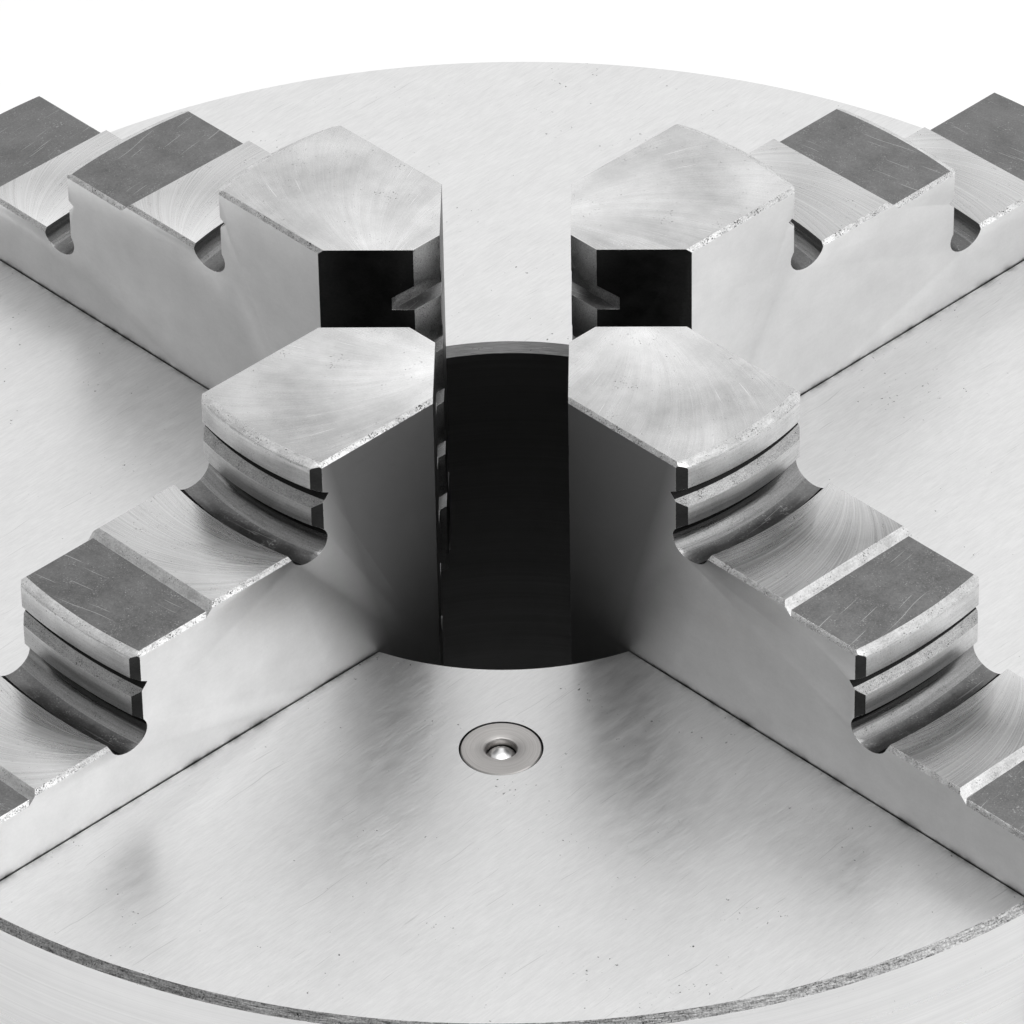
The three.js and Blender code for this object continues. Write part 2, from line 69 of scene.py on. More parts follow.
def leaveEdit():
    bpy.ops.mesh.select_all(action="SELECT")
    bpy.ops.mesh.remove_doubles(threshold=1e-7)
    bpy.ops.mesh.normals_make_consistent(inside=False)
    bpy.ops.object.mode_set(mode="OBJECT")


def layOutline(name, points, fill="NGON"):  # points in millimetres
    bpy.ops.object.select_all(action="DESELECT")
    bpy.ops.mesh.primitive_circle_add(vertices=len(points), fill_type=fill)
    piece = bpy.context.object
    piece.name = name
    for vertex, point in zip(piece.data.vertices, points):
        vertex.co = Vector(point) * mm
    return piece


def extrudeOutline(name, points, move):
    piece = layOutline(name, points)
    editAll(piece)
    bpy.ops.mesh.extrude_region_move(TRANSFORM_OT_translate={"value": Vector(move) * mm})
    leaveEdit()
    return piece


def spinOutline(name, points, steps, turn=360):  # points are radius and height
    whole = turn == 360
    piece = layOutline(name, [(r, 0, z) for r, z in points], "NOTHING" if whole else "NGON")
    if not whole:  # the spin runs clockwise
        piece.data.transform(Matrix.Rotation(math.radians(turn / 2), 4, "Z"))
    editAll(piece)
    bpy.ops.mesh.spin(steps=steps, angle=math.radians(turn), center=(0, 0, 0), axis=(0, 0, 1))
    leaveEdit()
    return piece


def turnPiece(piece, degrees):  # about the chuck's axis
    takeUp(piece)
    piece.rotation_euler.z = math.radians(degrees)
    bpy.ops.object.transform_apply(location=False, rotation=True, scale=False)
    return piece


def layAlongX(piece, height):  # from the z axis to the x axis, lifted to a height
    takeUp(piece)
    piece.rotation_euler.y = math.radians(90)
    piece.location.z = height * mm
    bpy.ops.object.transform_apply(location=True, rotation=True, scale=False)
    return piece


def movePiece(piece, x, y, z=0):
    piece.data.transform(Matrix.Translation(Vector((x, y, z)) * mm))
    return piece


def joinPieces(pieces):
    takeUp(pieces[0])
    for piece in pieces[1:]:
        piece.select_set(True)
    bpy.ops.object.join()
    return pieces[0]


def copyPiece(piece, name):
    twin = piece.copy()
    twin.data = piece.data.copy()
    twin.name = name
    bpy.context.scene.collection.objects.link(twin)
    return twin


def combine(piece, tool, operation="DIFFERENCE"):
    takeUp(piece)
    cut = piece.modifiers.new("cut", "BOOLEAN")
    cut.object = tool
    cut.operation = operation
    cut.solver = "EXACT"
    bpy.ops.object.modifier_apply(modifier=cut.name)
    bpy.data.objects.remove(tool)
    return piece


def roundEdges(piece, width, angle, steps=2, slotIndex=-1):
    takeUp(piece)
    bevel = piece.modifiers.new("edges", "BEVEL")
    bevel.width = width * mm
    bevel.segments = steps
    bevel.limit_method = "ANGLE"
    bevel.angle_limit = math.radians(angle)
    bevel.material = slotIndex
    bpy.ops.object.modifier_apply(modifier=bevel.name)


def mergeFlats(piece):  # one face where the cuts left several in a plane
    editAll(piece)
    bpy.ops.mesh.dissolve_limited(angle_limit=math.radians(0.4))
    leaveEdit()


def smoothShade(piece, angle=32):
    takeUp(piece)
    bpy.ops.object.shade_smooth_by_angle(angle=math.radians(angle))


def rememberPlace(piece):  # keeps each point's place before the piece is turned, for its patterns
    place = piece.data.attributes.new("partPlace", "FLOAT_VECTOR", "POINT")
    for vertex, entry in zip(piece.data.vertices, place.data):
        entry.vector = vertex.co / mm


def paintFaces(piece, names, choose=None):  # choose gives the finish of a face from its place and normal
    for name in names:
        piece.data.materials.append(steel[name])
    for face in piece.data.polygons:
        face.material_index = names.index(choose(face.center / mm, face.normal)) if choose else 0


def hexOutline(radius):
    return [(radius * math.cos(i * math.pi / 3), radius * math.sin(i * math.pi / 3), 0) for i in range(6)]


# shader helpers and the steel finishes

def newGroup(name, inputs, outputs):
    group = bpy.data.node_groups.new(name, "ShaderNodeTree")
    for label, kind, value in inputs:
        socket = group.interface.new_socket(name=label, in_out="INPUT", socket_type=kind)
        if value is not None:
            socket.default_value = value
    for label, kind in outputs:
        group.interface.new_socket(name=label, in_out="OUTPUT", socket_type=kind)
    return group, group.nodes.new("NodeGroupInput"), group.nodes.new("NodeGroupOutput")


def mathNode(tree, operation, first, second=None, third=None, clamp=False):
    node = tree.nodes.new("ShaderNodeMath")
    node.operation = operation
    node.use_clamp = clamp
    for socket, value in zip(node.inputs, (first, second, third)):
        if value is None:
            continue
        if isinstance(value, (int, float)):
            socket.default_value = value
        else:
            tree.links.new(value, socket)
    return node.outputs[0]


def vectorNode(tree, operation, first, second):
    node = tree.nodes.new("ShaderNodeVectorMath")
    node.operation = operation
    for socket, value in zip(node.inputs, (first, second)):
        if isinstance(value, (tuple, list)):
            socket.default_value = value
        else:
            tree.links.new(value, socket)
    return node.outputs[0]


def noiseNode(tree, place, scale, detail=3.0, roughness=0.55):
    node = tree.nodes.new("ShaderNodeTexNoise")
    node.inputs["Scale"].default_value = scale
    node.inputs["Detail"].default_value = detail
    node.inputs["Roughness"].default_value = roughness
    tree.links.new(place, node.inputs["Vector"])
    return node.outputs["Fac"]


def rangeNode(tree, value, low, high, outLow=0.0, outHigh=1.0):
    node = tree.nodes.new("ShaderNodeMapRange")
    tree.links.new(value, node.inputs["Value"])
    for label, number in (("From Min", low), ("From Max", high), ("To Min", outLow), ("To Max", outHigh)):
        if isinstance(number, (int, float)):
            node.inputs[label].default_value = number
        else:
            tree.links.new(number, node.inputs[label])
    return node.outputs["Result"]


def makeToolMarks():  # fine lines left by a tool or a wheel: Place runs along x, lines are stacked in y
    group, given, result = newGroup("toolMarks", [
        ("Place", "NodeSocketVector", None), ("Spacing", "NodeSocketFloat", 0.25),
        ("Length", "NodeSocketFloat", 12.0)], [("Lines", "NodeSocketFloat"), ("Streaks", "NodeSocketFloat")])
    spread = group.nodes.new("ShaderNodeCombineXYZ")
    group.links.new(mathNode(group, "DIVIDE", 1.0, given.outputs["Length"]), spread.inputs["X"])
    for label in ("Y", "Z"):
        group.links.new(mathNode(group, "DIVIDE", 1.0, given.outputs["Spacing"]), spread.inputs[label])
    place = vectorNode(group, "MULTIPLY", given.outputs["Place"], spread.outputs[0])
    group.links.new(noiseNode(group, place, 1.0, 2.0, 0.6), result.inputs["Lines"])
    wide = vectorNode(group, "MULTIPLY", place, (0.45, 0.16, 0.16))
    group.links.new(noiseNode(group, wide, 1.0, 3.0, 0.6), result.inputs["Streaks"])
    return group


def makePits():  # small dark specks and pores
    group, given, result = newGroup("pits", [
        ("Place", "NodeSocketVector", None), ("Size", "NodeSocketFloat", 1.0),
        ("Amount", "NodeSocketFloat", 0.3)], [("Mask", "NodeSocketFloat")])
    spread = group.nodes.new("ShaderNodeCombineXYZ")
    for label in ("X", "Y", "Z"):
        group.links.new(mathNode(group, "DIVIDE", 1.0, given.outputs["Size"]), spread.inputs[label])
    place = vectorNode(group, "MULTIPLY", given.outputs["Place"], spread.outputs[0])
    grain = noiseNode(group, place, 2.2, 3.0, 0.62)
    patches = noiseNode(group, place, 0.23, 2.0, 0.5)
    level = mathNode(group, "MULTIPLY_ADD", patches, 0.34, grain)
    edge = mathNode(group, "MULTIPLY_ADD", given.outputs["Amount"], -0.28, 1.0)
    group.links.new(rangeNode(group, level, edge, mathNode(group, "ADD", edge, 0.05)), result.inputs["Mask"])
    return group


def makeScratches():  # a few long thin scratches along x
    group, given, result = newGroup("scratches", [
        ("Place", "NodeSocketVector", None), ("Amount", "NodeSocketFloat", 0.3)],
        [("Mask", "NodeSocketFloat")])
    bent = noiseNode(group, given.outputs["Place"], 0.08, 1.0, 0.5)
    lift = group.nodes.new("ShaderNodeCombineXYZ")
    group.links.new(mathNode(group, "MULTIPLY", bent, 2.5), lift.inputs["Y"])
    place = vectorNode(group, "ADD", given.outputs["Place"], lift.outputs[0])
    grain = noiseNode(group, vectorNode(group, "MULTIPLY", place, (0.11, 4.5, 0.3)), 1.0, 1.0, 0.4)
    edge = mathNode(group, "MULTIPLY_ADD", given.outputs["Amount"], -0.2, 0.8)
    group.links.new(rangeNode(group, grain, edge, mathNode(group, "ADD", edge, 0.04)), result.inputs["Mask"])
    return group


toolMarks = makeToolMarks()
pits = makePits()
scratches = makeScratches()


def useGroup(tree, group, values):
    node = tree.nodes.new("ShaderNodeGroup")
    node.node_tree = group
    for label, value in values.items():
        if isinstance(value, (int, float)):
            node.inputs[label].default_value = value
        else:
            tree.links.new(value, node.inputs[label])
    return node.outputs


def patternPlace(tree, finish):  # where the pattern runs, in millimetres
    if finish["onPart"]:
        source = tree.nodes.new("ShaderNodeAttribute")
        source.attribute_name = "partPlace"
        place = source.outputs["Vector"]
    else:
        source = tree.nodes.new("ShaderNodeTexCoord")
        place = vectorNode(tree, "MULTIPLY", source.outputs["Object"], (1 / mm,) * 3)
    lay = finish["lay"]
    shifted = vectorNode(tree, "SUBTRACT", place, finish["centre"])
    if lay == "straight":
        turn = tree.nodes.new("ShaderNodeVectorRotate")
        turn.rotation_type = "Z_AXIS"
        turn.inputs["Angle"].default_value = math.radians(finish["turn"])
        tree.links.new(shifted, turn.inputs["Vector"])
        return place, turn.outputs[0]
    split = tree.nodes.new("ShaderNodeSeparateXYZ")
    tree.links.new(shifted, split.inputs[0])
    flat = tree.nodes.new("ShaderNodeCombineXYZ")
    tree.links.new(split.outputs["X"], flat.inputs["X"])
    tree.links.new(split.outputs["Y"], flat.inputs["Y"])
    reach = tree.nodes.new("ShaderNodeVectorMath")
    reach.operation = "LENGTH"
    tree.links.new(flat.outputs[0], reach.inputs[0])
    angle = mathNode(tree, "ARCTAN2", split.outputs["Y"], split.outputs["X"])
    joined = tree.nodes.new("ShaderNodeCombineXYZ")
    if lay == "rings":  # turned round the centre
        tree.links.new(mathNode(tree, "MULTIPLY", angle, finish["wheel"]), joined.inputs["X"])
        tree.links.new(reach.outputs["Value"], joined.inputs["Y"])
        tree.links.new(split.outputs["Z"], joined.inputs["Z"])
    else:  # "fan": rays that spread from the centre and curl
        curl = mathNode(tree, "MULTIPLY", reach.outputs["Value"], finish["curl"])
        bent = mathNode(tree, "ADD", angle, curl)
        tree.links.new(reach.outputs["Value"], joined.inputs["X"])
        tree.links.new(mathNode(tree, "MULTIPLY", bent, finish["wheel"]), joined.inputs["Y"])
    return place, joined.outputs[0]


def lengthOf(tree, pattern):  # a fan's x is the distance from its centre
    split = tree.nodes.new("ShaderNodeSeparateXYZ")
    tree.links.new(pattern, split.inputs[0])
    return split.outputs["X"]


def dotOf(tree, place, along):
    node = tree.nodes.new("ShaderNodeVectorMath")
    node.operation = "DOT_PRODUCT"
    tree.links.new(place, node.inputs[0])
    node.inputs[1].default_value = along
    return node.outputs["Value"]


def seamDirt(tree, place, seam):  # uneven dirt in the corner between jaw and slot
    gaps = [mathNode(tree, "ABSOLUTE", dotOf(tree, place, along)) for along in seam["across"]]
    gap = gaps[0] if len(gaps) == 1 else mathNode(tree, "MINIMUM", gaps[0], gaps[1])
    gap = mathNode(tree, "ABSOLUTE", mathNode(tree, "SUBTRACT", gap, seam["edge"]))
    near = rangeNode(tree, gap, 0.0, seam["reach"], 1.0, 0.0)
    patches = rangeNode(tree, noiseNode(tree, place, seam["patches"], 5.0, 0.65), 0.42, 0.68)
    return mathNode(tree, "MULTIPLY", mathNode(tree, "POWER", near, 2.5), patches)


def mixColours(tree, share, first, second):
    node = tree.nodes.new("ShaderNodeMix")
    node.data_type = "RGBA"
    tree.links.new(share, node.inputs["Factor"])
    for socket, colour in ((node.inputs[6], first), (node.inputs[7], second)):
        if isinstance(colour, tuple):
            socket.default_value = (*colour, 1)
        else:
            tree.links.new(colour, socket)
    return node.outputs[2]


def makeSteel(name, finish):
    finish = dict(usualFinish, **finish)
    material = bpy.data.materials.new(name)
    material.use_nodes = True
    tree = material.node_tree
    shader = tree.nodes["Principled BSDF"]
    place, pattern = patternPlace(tree, finish)
    marks = useGroup(tree, toolMarks, {"Place": pattern, "Spacing": finish["spacing"],
                                       "Length": finish["length"]})
    specks = useGroup(tree, pits, {"Place": place, "Size": finish["pitSize"],
                                   "Amount": finish["pitAmount"]})["Mask"]
    clouds = noiseNode(tree, place, finish["cloudScale"], 4.0, 0.6)
    tone = mathNode(tree, "MULTIPLY_ADD", marks["Lines"], finish["lineTone"], 0)
    tone = mathNode(tree, "MULTIPLY_ADD", marks["Streaks"], finish["streakTone"], tone)
    tone = mathNode(tree, "MULTIPLY_ADD", clouds, finish["cloudTone"], tone)
    spread = finish["lineTone"] + finish["streakTone"] + finish["cloudTone"]
    if "speckle" in finish:  # torn, sparkling metal
        torn = noiseNode(tree, place, 1 / finish["speckleSize"], 2.0, 0.7)
        tone = mathNode(tree, "MULTIPLY_ADD", torn, finish["speckle"], tone)
        spread += finish["speckle"]
    if "broad" in finish:  # slow change of tone along the scratches
        slow = noiseNode(tree, vectorNode(tree, "MULTIPLY", pattern, finish["broadScale"]), 1.0, 1.5, 0.5)
        tone = mathNode(tree, "MULTIPLY_ADD", slow, finish["broad"], tone)
        spread += finish["broad"]
    if "fade" in finish:  # painted highlight, brightest near the centre where the scratches meet
        near = rangeNode(tree, lengthOf(tree, pattern), 1.0, finish["fadeReach"], 1.0, 0.0)
        tone = mathNode(tree, "MULTIPLY_ADD", near, finish["fade"], tone)
        spread += finish["fade"] * 0.8
    contrast = finish["contrast"]
    share = rangeNode(tree, tone, (0.5 - contrast) * spread, (0.5 + contrast) * spread)
    painted = mixColours(tree, share, finish["dark"], finish["light"])
    painted = mixColours(tree, specks, painted, finish["pitColour"])
    if "scratch" in finish:
        cuts = useGroup(tree, scratches, {"Place": pattern, "Amount": finish["scratch"]})["Mask"]
        share = mathNode(tree, "MULTIPLY", cuts, finish["scratchShare"])
        painted = mixColours(tree, share, painted, finish["scratchColour"])
    if "seam" in finish:
        dirt = seamDirt(tree, place, finish["seam"])
        painted = mixColours(tree, dirt, painted, finish["seam"]["colour"])
    film = finish.get("film")
    if film:  # painted shade that darkens one end and roughens it there
        endShadeShare = rangeNode(tree, dotOf(tree, place, film["along"]), film["start"], film["end"], 1.0, 0.0)
        painted = mixColours(tree, endShadeShare, painted, film["colour"])
    tree.links.new(painted, shader.inputs["Base Color"])
    if "edgeTint" in finish:
        shader.inputs["Specular Tint"].default_value = (*finish["edgeTint"], 1)
    rough = rangeNode(tree, marks["Streaks"], 0.3, 0.7, finish["roughness"] - finish["roughSpan"],
                      finish["roughness"] + finish["roughSpan"])
    if film:
        rough = mathNode(tree, "MULTIPLY_ADD", endShadeShare, film["rough"], rough)
    rough = mathNode(tree, "MULTIPLY_ADD", specks, finish["pitRough"], rough, clamp=True)
    tree.links.new(rough, shader.inputs["Roughness"])
    shader.inputs["Metallic"].default_value = finish["metallic"]
    height = mathNode(tree, "MULTIPLY_ADD", specks, -finish["pitDepth"], marks["Lines"])
    bump = tree.nodes.new("ShaderNodeBump")
    bump.inputs["Strength"].default_value = finish["bump"]
    bump.inputs["Distance"].default_value = finish["bumpHeight"] * mm
    tree.links.new(height, bump.inputs["Height"])
    tree.links.new(bump.outputs[0], shader.inputs["Normal"])
    return material


def grey(value):
    return value, value, value


# spacing, length and sizes are in millimetres, and the tones are shares of the way from dark to light
usualFinish = {
    "lay": "straight", "turn": 0, "centre": (0, 0, 0), "wheel": 60.0, "curl": 0.01, "onPart": False,
    "length": 12.0, "lineTone": 0.5, "streakTone": 0.3, "cloudTone": 0.4, "cloudScale": 0.06, "contrast": 0.2,
    "pitSize": 0.6, "pitAmount": 0.3, "pitColour": grey(0.03), "pitRough": 0.3, "pitDepth": 1.0,
    "scratchShare": 0.55, "roughSpan": 0.06, "metallic": 1.0, "bump": 0.2, "bumpHeight": 0.05,
}
finishes = {
    "bodyFace": {"dark": grey(0.66), "light": grey(0.84), "roughness": 0.37, "roughSpan": 0.03,
                 "spacing": 0.24, "length": 1.9, "turn": -47, "lineTone": 1.0, "streakTone": 0.4,
                 "cloudTone": 0.5, "cloudScale": 0.12, "speckle": 0.3, "speckleSize": 0.25, "pitSize": 1.5,
                 "pitAmount": 0.42, "pitColour": grey(0.12), "bump": 0.3, "contrast": 0.24,
                 "scratch": 0.28, "scratchColour": grey(0.5),
                 "seam": {"across": ((0.7071, 0.7071, 0), (0.7071, -0.7071, 0)), "edge": 10.7,
                          "reach": 1.7, "patches": 0.28, "colour": grey(0.1)}},
    "bodySide": {"dark": grey(0.62), "light": grey(0.8), "roughness": 0.32, "lay": "rings", "spacing": 0.22,
                 "length": 40.0, "bump": 0.15, "pitAmount": 0.25, "pitSize": 0.9},
    "bodyChamfer": {"dark": grey(0.05), "light": grey(0.66), "roughness": 0.4, "lay": "rings",
                    "wheel": 100.0, "spacing": 0.2, "length": 1.7, "lineTone": 1.0,
                    "cloudTone": 0.3, "cloudScale": 0.09, "speckle": 1.2, "speckleSize": 0.25, "bump": 0.8,
                    "pitAmount": 0.6, "contrast": 0.15},
    "boreChamfer": {"dark": grey(0.13), "light": grey(0.28), "roughness": 0.4, "lay": "rings",
                    "spacing": 0.12, "length": 4.0, "bump": 0.4, "pitSize": 0.4, "pitAmount": 0.5},
    # painted shade: bodyBore and bodySlot are painted dark for the shade inside the bore, the slots and the
    # holes
    "bodyBore": {"dark": grey(0.09), "light": grey(0.13), "roughness": 0.55, "lay": "rings", "spacing": 0.3,
                 "length": 60.0},
    "bodySlot": {"dark": grey(0.12), "light": grey(0.24), "roughness": 0.45, "spacing": 0.25},
    "bodyRear": {"dark": grey(0.52), "light": grey(0.68), "roughness": 0.38, "lay": "rings", "spacing": 0.3,
                 "length": 80.0, "bump": 0.25},
    "jawTop": {"dark": grey(0.34), "light": grey(0.92), "roughness": 0.25, "onPart": True, "lay": "fan",
               "centre": (13, 8, 0), "wheel": 26.0, "curl": 0.014, "spacing": 0.3, "length": 9.0,
               "fade": 0.8, "fadeReach": 26.0, "scratch": 0.42, "scratchColour": grey(0.95),
               "lineTone": 0.3, "streakTone": 0.35, "cloudTone": 1.3, "cloudScale": 0.1, "broad": 1.2,
               "broadScale": (0.05, 0.05, 0.1), "speckle": 0.4, "speckleSize": 0.22, "pitSize": 0.5,
               "pitAmount": 0.5, "pitColour": grey(0.2), "bump": 0.3, "contrast": 0.17},
    "jawLandInner": {"dark": grey(0.42), "light": grey(0.96), "roughness": 0.28, "onPart": True, "lay": "fan",
                     "centre": (44.5, 13.5, 0), "wheel": 20.0, "curl": 0.02, "spacing": 0.27,
                     "length": 22.0, "lineTone": 1.2, "streakTone": 0.7, "cloudTone": 0.5, "broad": 0.9,
                     "broadScale": (0.06, 0.06, 0.1), "speckle": 0.3, "speckleSize": 0.22,
                     "fade": 1.3, "fadeReach": 15.0, "pitAmount": 0.5, "pitSize": 0.4, "bump": 0.6,
                     "contrast": 0.22},
    "jawFlank": {"dark": grey(0.62), "light": grey(0.76), "roughness": 0.32, "roughSpan": 0.02,
                 "onPart": True, "spacing": 0.5, "length": 2.0, "lineTone": 0.2, "streakTone": 0.2,
                 "cloudTone": 1.0, "cloudScale": 0.15, "speckle": 0.3, "speckleSize": 0.3, "pitSize": 0.9,
                 "pitAmount": 0.22, "pitColour": grey(0.4), "pitRough": 0.04, "pitDepth": 0.2, "bump": 0.03,
                 "seam": {"across": ((0, 0, 1),), "edge": 75.0, "reach": 1.5, "patches": 0.3,
                          "colour": grey(0.08)}},
    "jawRelief": {"dark": grey(0.09), "light": grey(0.24), "roughness": 0.42, "onPart": True, "turn": 82,
                  "scratch": 0.42, "scratchColour": grey(0.55),
                  "spacing": 0.5, "length": 1.5, "lineTone": 0.3, "cloudTone": 0.9,
                  "cloudScale": 0.2, "speckle": 0.9, "speckleSize": 0.25, "pitSize": 0.5, "pitAmount": 0.7,
                  "pitColour": grey(0.4), "bump": 0.4},
    "jawBlack": {"dark": grey(0.03), "light": grey(0.05), "roughness": 0.42, "onPart": True, "spacing": 0.3,
                 "length": 8.0, "pitColour": grey(0.12)},
    "jawRiser": {"dark": grey(0.4), "light": grey(0.86), "roughness": 0.4, "onPart": True, "lay": "rings",
                 "spacing": 0.25, "length": 8.0, "speckle": 0.6, "speckleSize": 0.22, "cloudTone": 0.8,
                 "cloudScale": 0.2, "pitSize": 0.4, "pitAmount": 0.55, "bump": 0.45},
    "jawGroove": {"dark": grey(0.12), "light": grey(0.6), "roughness": 0.34, "onPart": True, "lay": "rings",
                  "spacing": 0.2, "length": 1.5, "speckle": 1.6, "speckleSize": 0.13, "pitSize": 0.35,
                  "pitAmount": 0.7, "bump": 0.9},
    "jawChannel": {"dark": grey(0.12), "light": grey(0.4), "roughness": 0.3, "onPart": True,
                   "lay": "rings", "spacing": 0.22, "length": 7.0, "speckle": 0.7, "speckleSize": 0.16,
                   "pitSize": 0.4, "pitAmount": 0.6, "bump": 0.5},
    "jawShade": {"dark": grey(0.015), "light": grey(0.05), "roughness": 0.6, "edgeTint": grey(0.1),
                 "onPart": True, "lay": "rings", "spacing": 0.22, "length": 4.0, "speckle": 1.0,
                 "speckleSize": 0.16, "bump": 0.5, "pitColour": grey(0.2)},
    "jawCrest": {"dark": grey(0.3), "light": grey(0.86), "roughness": 0.32, "onPart": True,
                 "lay": "rings", "spacing": 0.3, "length": 3.0, "cloudTone": 1.0, "cloudScale": 0.5,
                 "speckle": 0.9, "speckleSize": 0.22, "pitSize": 0.45, "pitAmount": 0.7,
                 "pitColour": grey(0.08), "bump": 0.5},
    "jawEdge": {"dark": grey(0.24), "light": grey(0.96), "roughness": 0.28, "onPart": True, "spacing": 0.3,
                "length": 0.6, "cloudTone": 1.2, "cloudScale": 0.7, "speckle": 1.3, "speckleSize": 0.2,
                "pitSize": 0.4, "pitAmount": 0.85, "pitColour": grey(0.08), "bump": 0.7},
    "cover": {"dark": grey(0.42), "light": grey(0.56), "roughness": 0.4, "lay": "rings", "spacing": 0.25,
              "length": 90.0, "bump": 0.25},
    "screw": {"dark": grey(0.02), "light": grey(0.045), "roughness": 0.42, "onPart": True, "spacing": 0.3,
              "length": 2.0, "metallic": 0.7, "pitColour": grey(0.2), "pitAmount": 0.2},
    "pinion": {"dark": grey(0.2), "light": grey(0.32), "roughness": 0.4, "onPart": True, "spacing": 1.5,
               "length": 0.2},
    "pinionEnd": {"dark": grey(0.42), "light": grey(0.62), "roughness": 0.36, "onPart": True, "spacing": 0.3,
                  "length": 6.0, "turn": 90, "bump": 0.25},
    "oiler": {"dark": (0.38, 0.367, 0.357), "light": (0.64, 0.622, 0.61), "roughness": 0.42, "onPart": True,
              "lay": "rings", "spacing": 0.2, "length": 9.0, "wheel": 3.0, "pitSize": 0.3, "pitAmount": 0.4,
              "pitColour": (0.16, 0.14, 0.12), "bump": 0.3},
    "oilerInside": {"dark": (0.22, 0.21, 0.2), "light": (0.4, 0.38, 0.37), "roughness": 0.4,
                    "onPart": True, "spacing": 0.2},
    "ball": {"dark": grey(0.85), "light": grey(0.97), "roughness": 0.3, "roughSpan": 0.03, "spacing": 0.4,
             "bump": 0.03, "pitSize": 0.3, "pitAmount": 0.1},
    "spring": {"dark": grey(0.35), "light": grey(0.5), "roughness": 0.3, "spacing": 0.1},
    "scroll": {"dark": grey(0.3), "light": grey(0.46), "roughness": 0.38, "lay": "rings", "spacing": 0.25,
               "length": 50.0, "bump": 0.25},
}
# painted shade: the front jaws' flank copy is darkened and roughened towards the bore end
finishes["jawFlankFront"] = dict(finishes["jawFlank"], film={
    "along": (1, 0, -0.27), "start": 10.0, "end": 20.0, "colour": grey(0.21), "rough": 0.26})
finishes["jawLandOuter"] = dict(finishes["jawLandInner"], centre=(73.7, 13.5, 0))
for landName in ("jawLandInner", "jawLandOuter"):  # painted shade: darker land copies for the front right jaw, standing in for its weaker reflection
    finishes[landName + "Dull"] = dict(finishes[landName], dark=grey(0.2), light=grey(0.8))
steel = {finishName: makeSteel(finishName, finish) for finishName, finish in finishes.items()}
print("materials made:", len(steel))

# body: turned, slotted and drilled
bodyLow, bodyHigh = (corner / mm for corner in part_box("chuck_body"))
bodyPlan = {
    "radius": bodyHigh.x, "face": bodyHigh.z, "bore": 33.0, "hub": 42.2, "chamber": 72.0, "web": 56.0,
    "coverSeat": 15.0, "register": 82.5, "registerDepth": 5.0, "rimChamfer": 0.93, "boreChamfer": 1.1,
    "steps": 240, "slotHalf": 10.7, "slotFloor": 50.0, "tongueTip": 7.93, "tongueLow": 62.3,
    "tongueHigh": 67.7, "slotEdge": 0.07, "pinionBore": 12.3, "pinionHeight": 28.5, "boltCircle": 90.0,
    "boltHole": 4.25, "boltDepth": 20.0, "retainerCircle": 89.0, "retainerHole": 4.3,
    "coverScrewCircle": 77.2, "coverScrewHole": 2.8, "oilerRadius": 5.12, "oilerDepth": 9.3,
    "oilerPlace": -49.2, "boreFoot": 0.5, "registerEdge": 0.6, "boltMouth": 0.8, "coverScrewDepth": 12.0,
    "coverScrewMouth": 0.1, "retainerMouth": 0.4, "bearingStart": 60.0, "bearingChamfer": 1.2,
    "journalHole": 4.8, "journalStart": 38.9, "journalEnd": 43.0, "oilPassage": 1.5,
}


def slotTool(p):
    half, edge = p["slotHalf"], p["slotEdge"]
    side = [(half, p["slotFloor"]), (half, p["tongueLow"]), (p["tongueTip"], p["tongueLow"]),
            (p["tongueTip"], p["tongueHigh"]), (half, p["tongueHigh"]), (half, p["face"] - edge),
            (half + edge + past, p["face"] + past)]
    outline = [(0, y, z) for y, z in side] + [(0, -y, z) for y, z in reversed(side)]
    return extrudeOutline("slotTool", outline, (p["radius"] + 2 * past, 0, 0))


def holeTool(radius, depth, mouth, steps=48):  # drilled upwards from z = 0
    tip = depth + radius * 0.4
    return spinOutline("holeTool", [(0, -past), (radius + mouth + past, -past), (radius, mouth),
                                    (radius, depth), (0, tip)], steps)


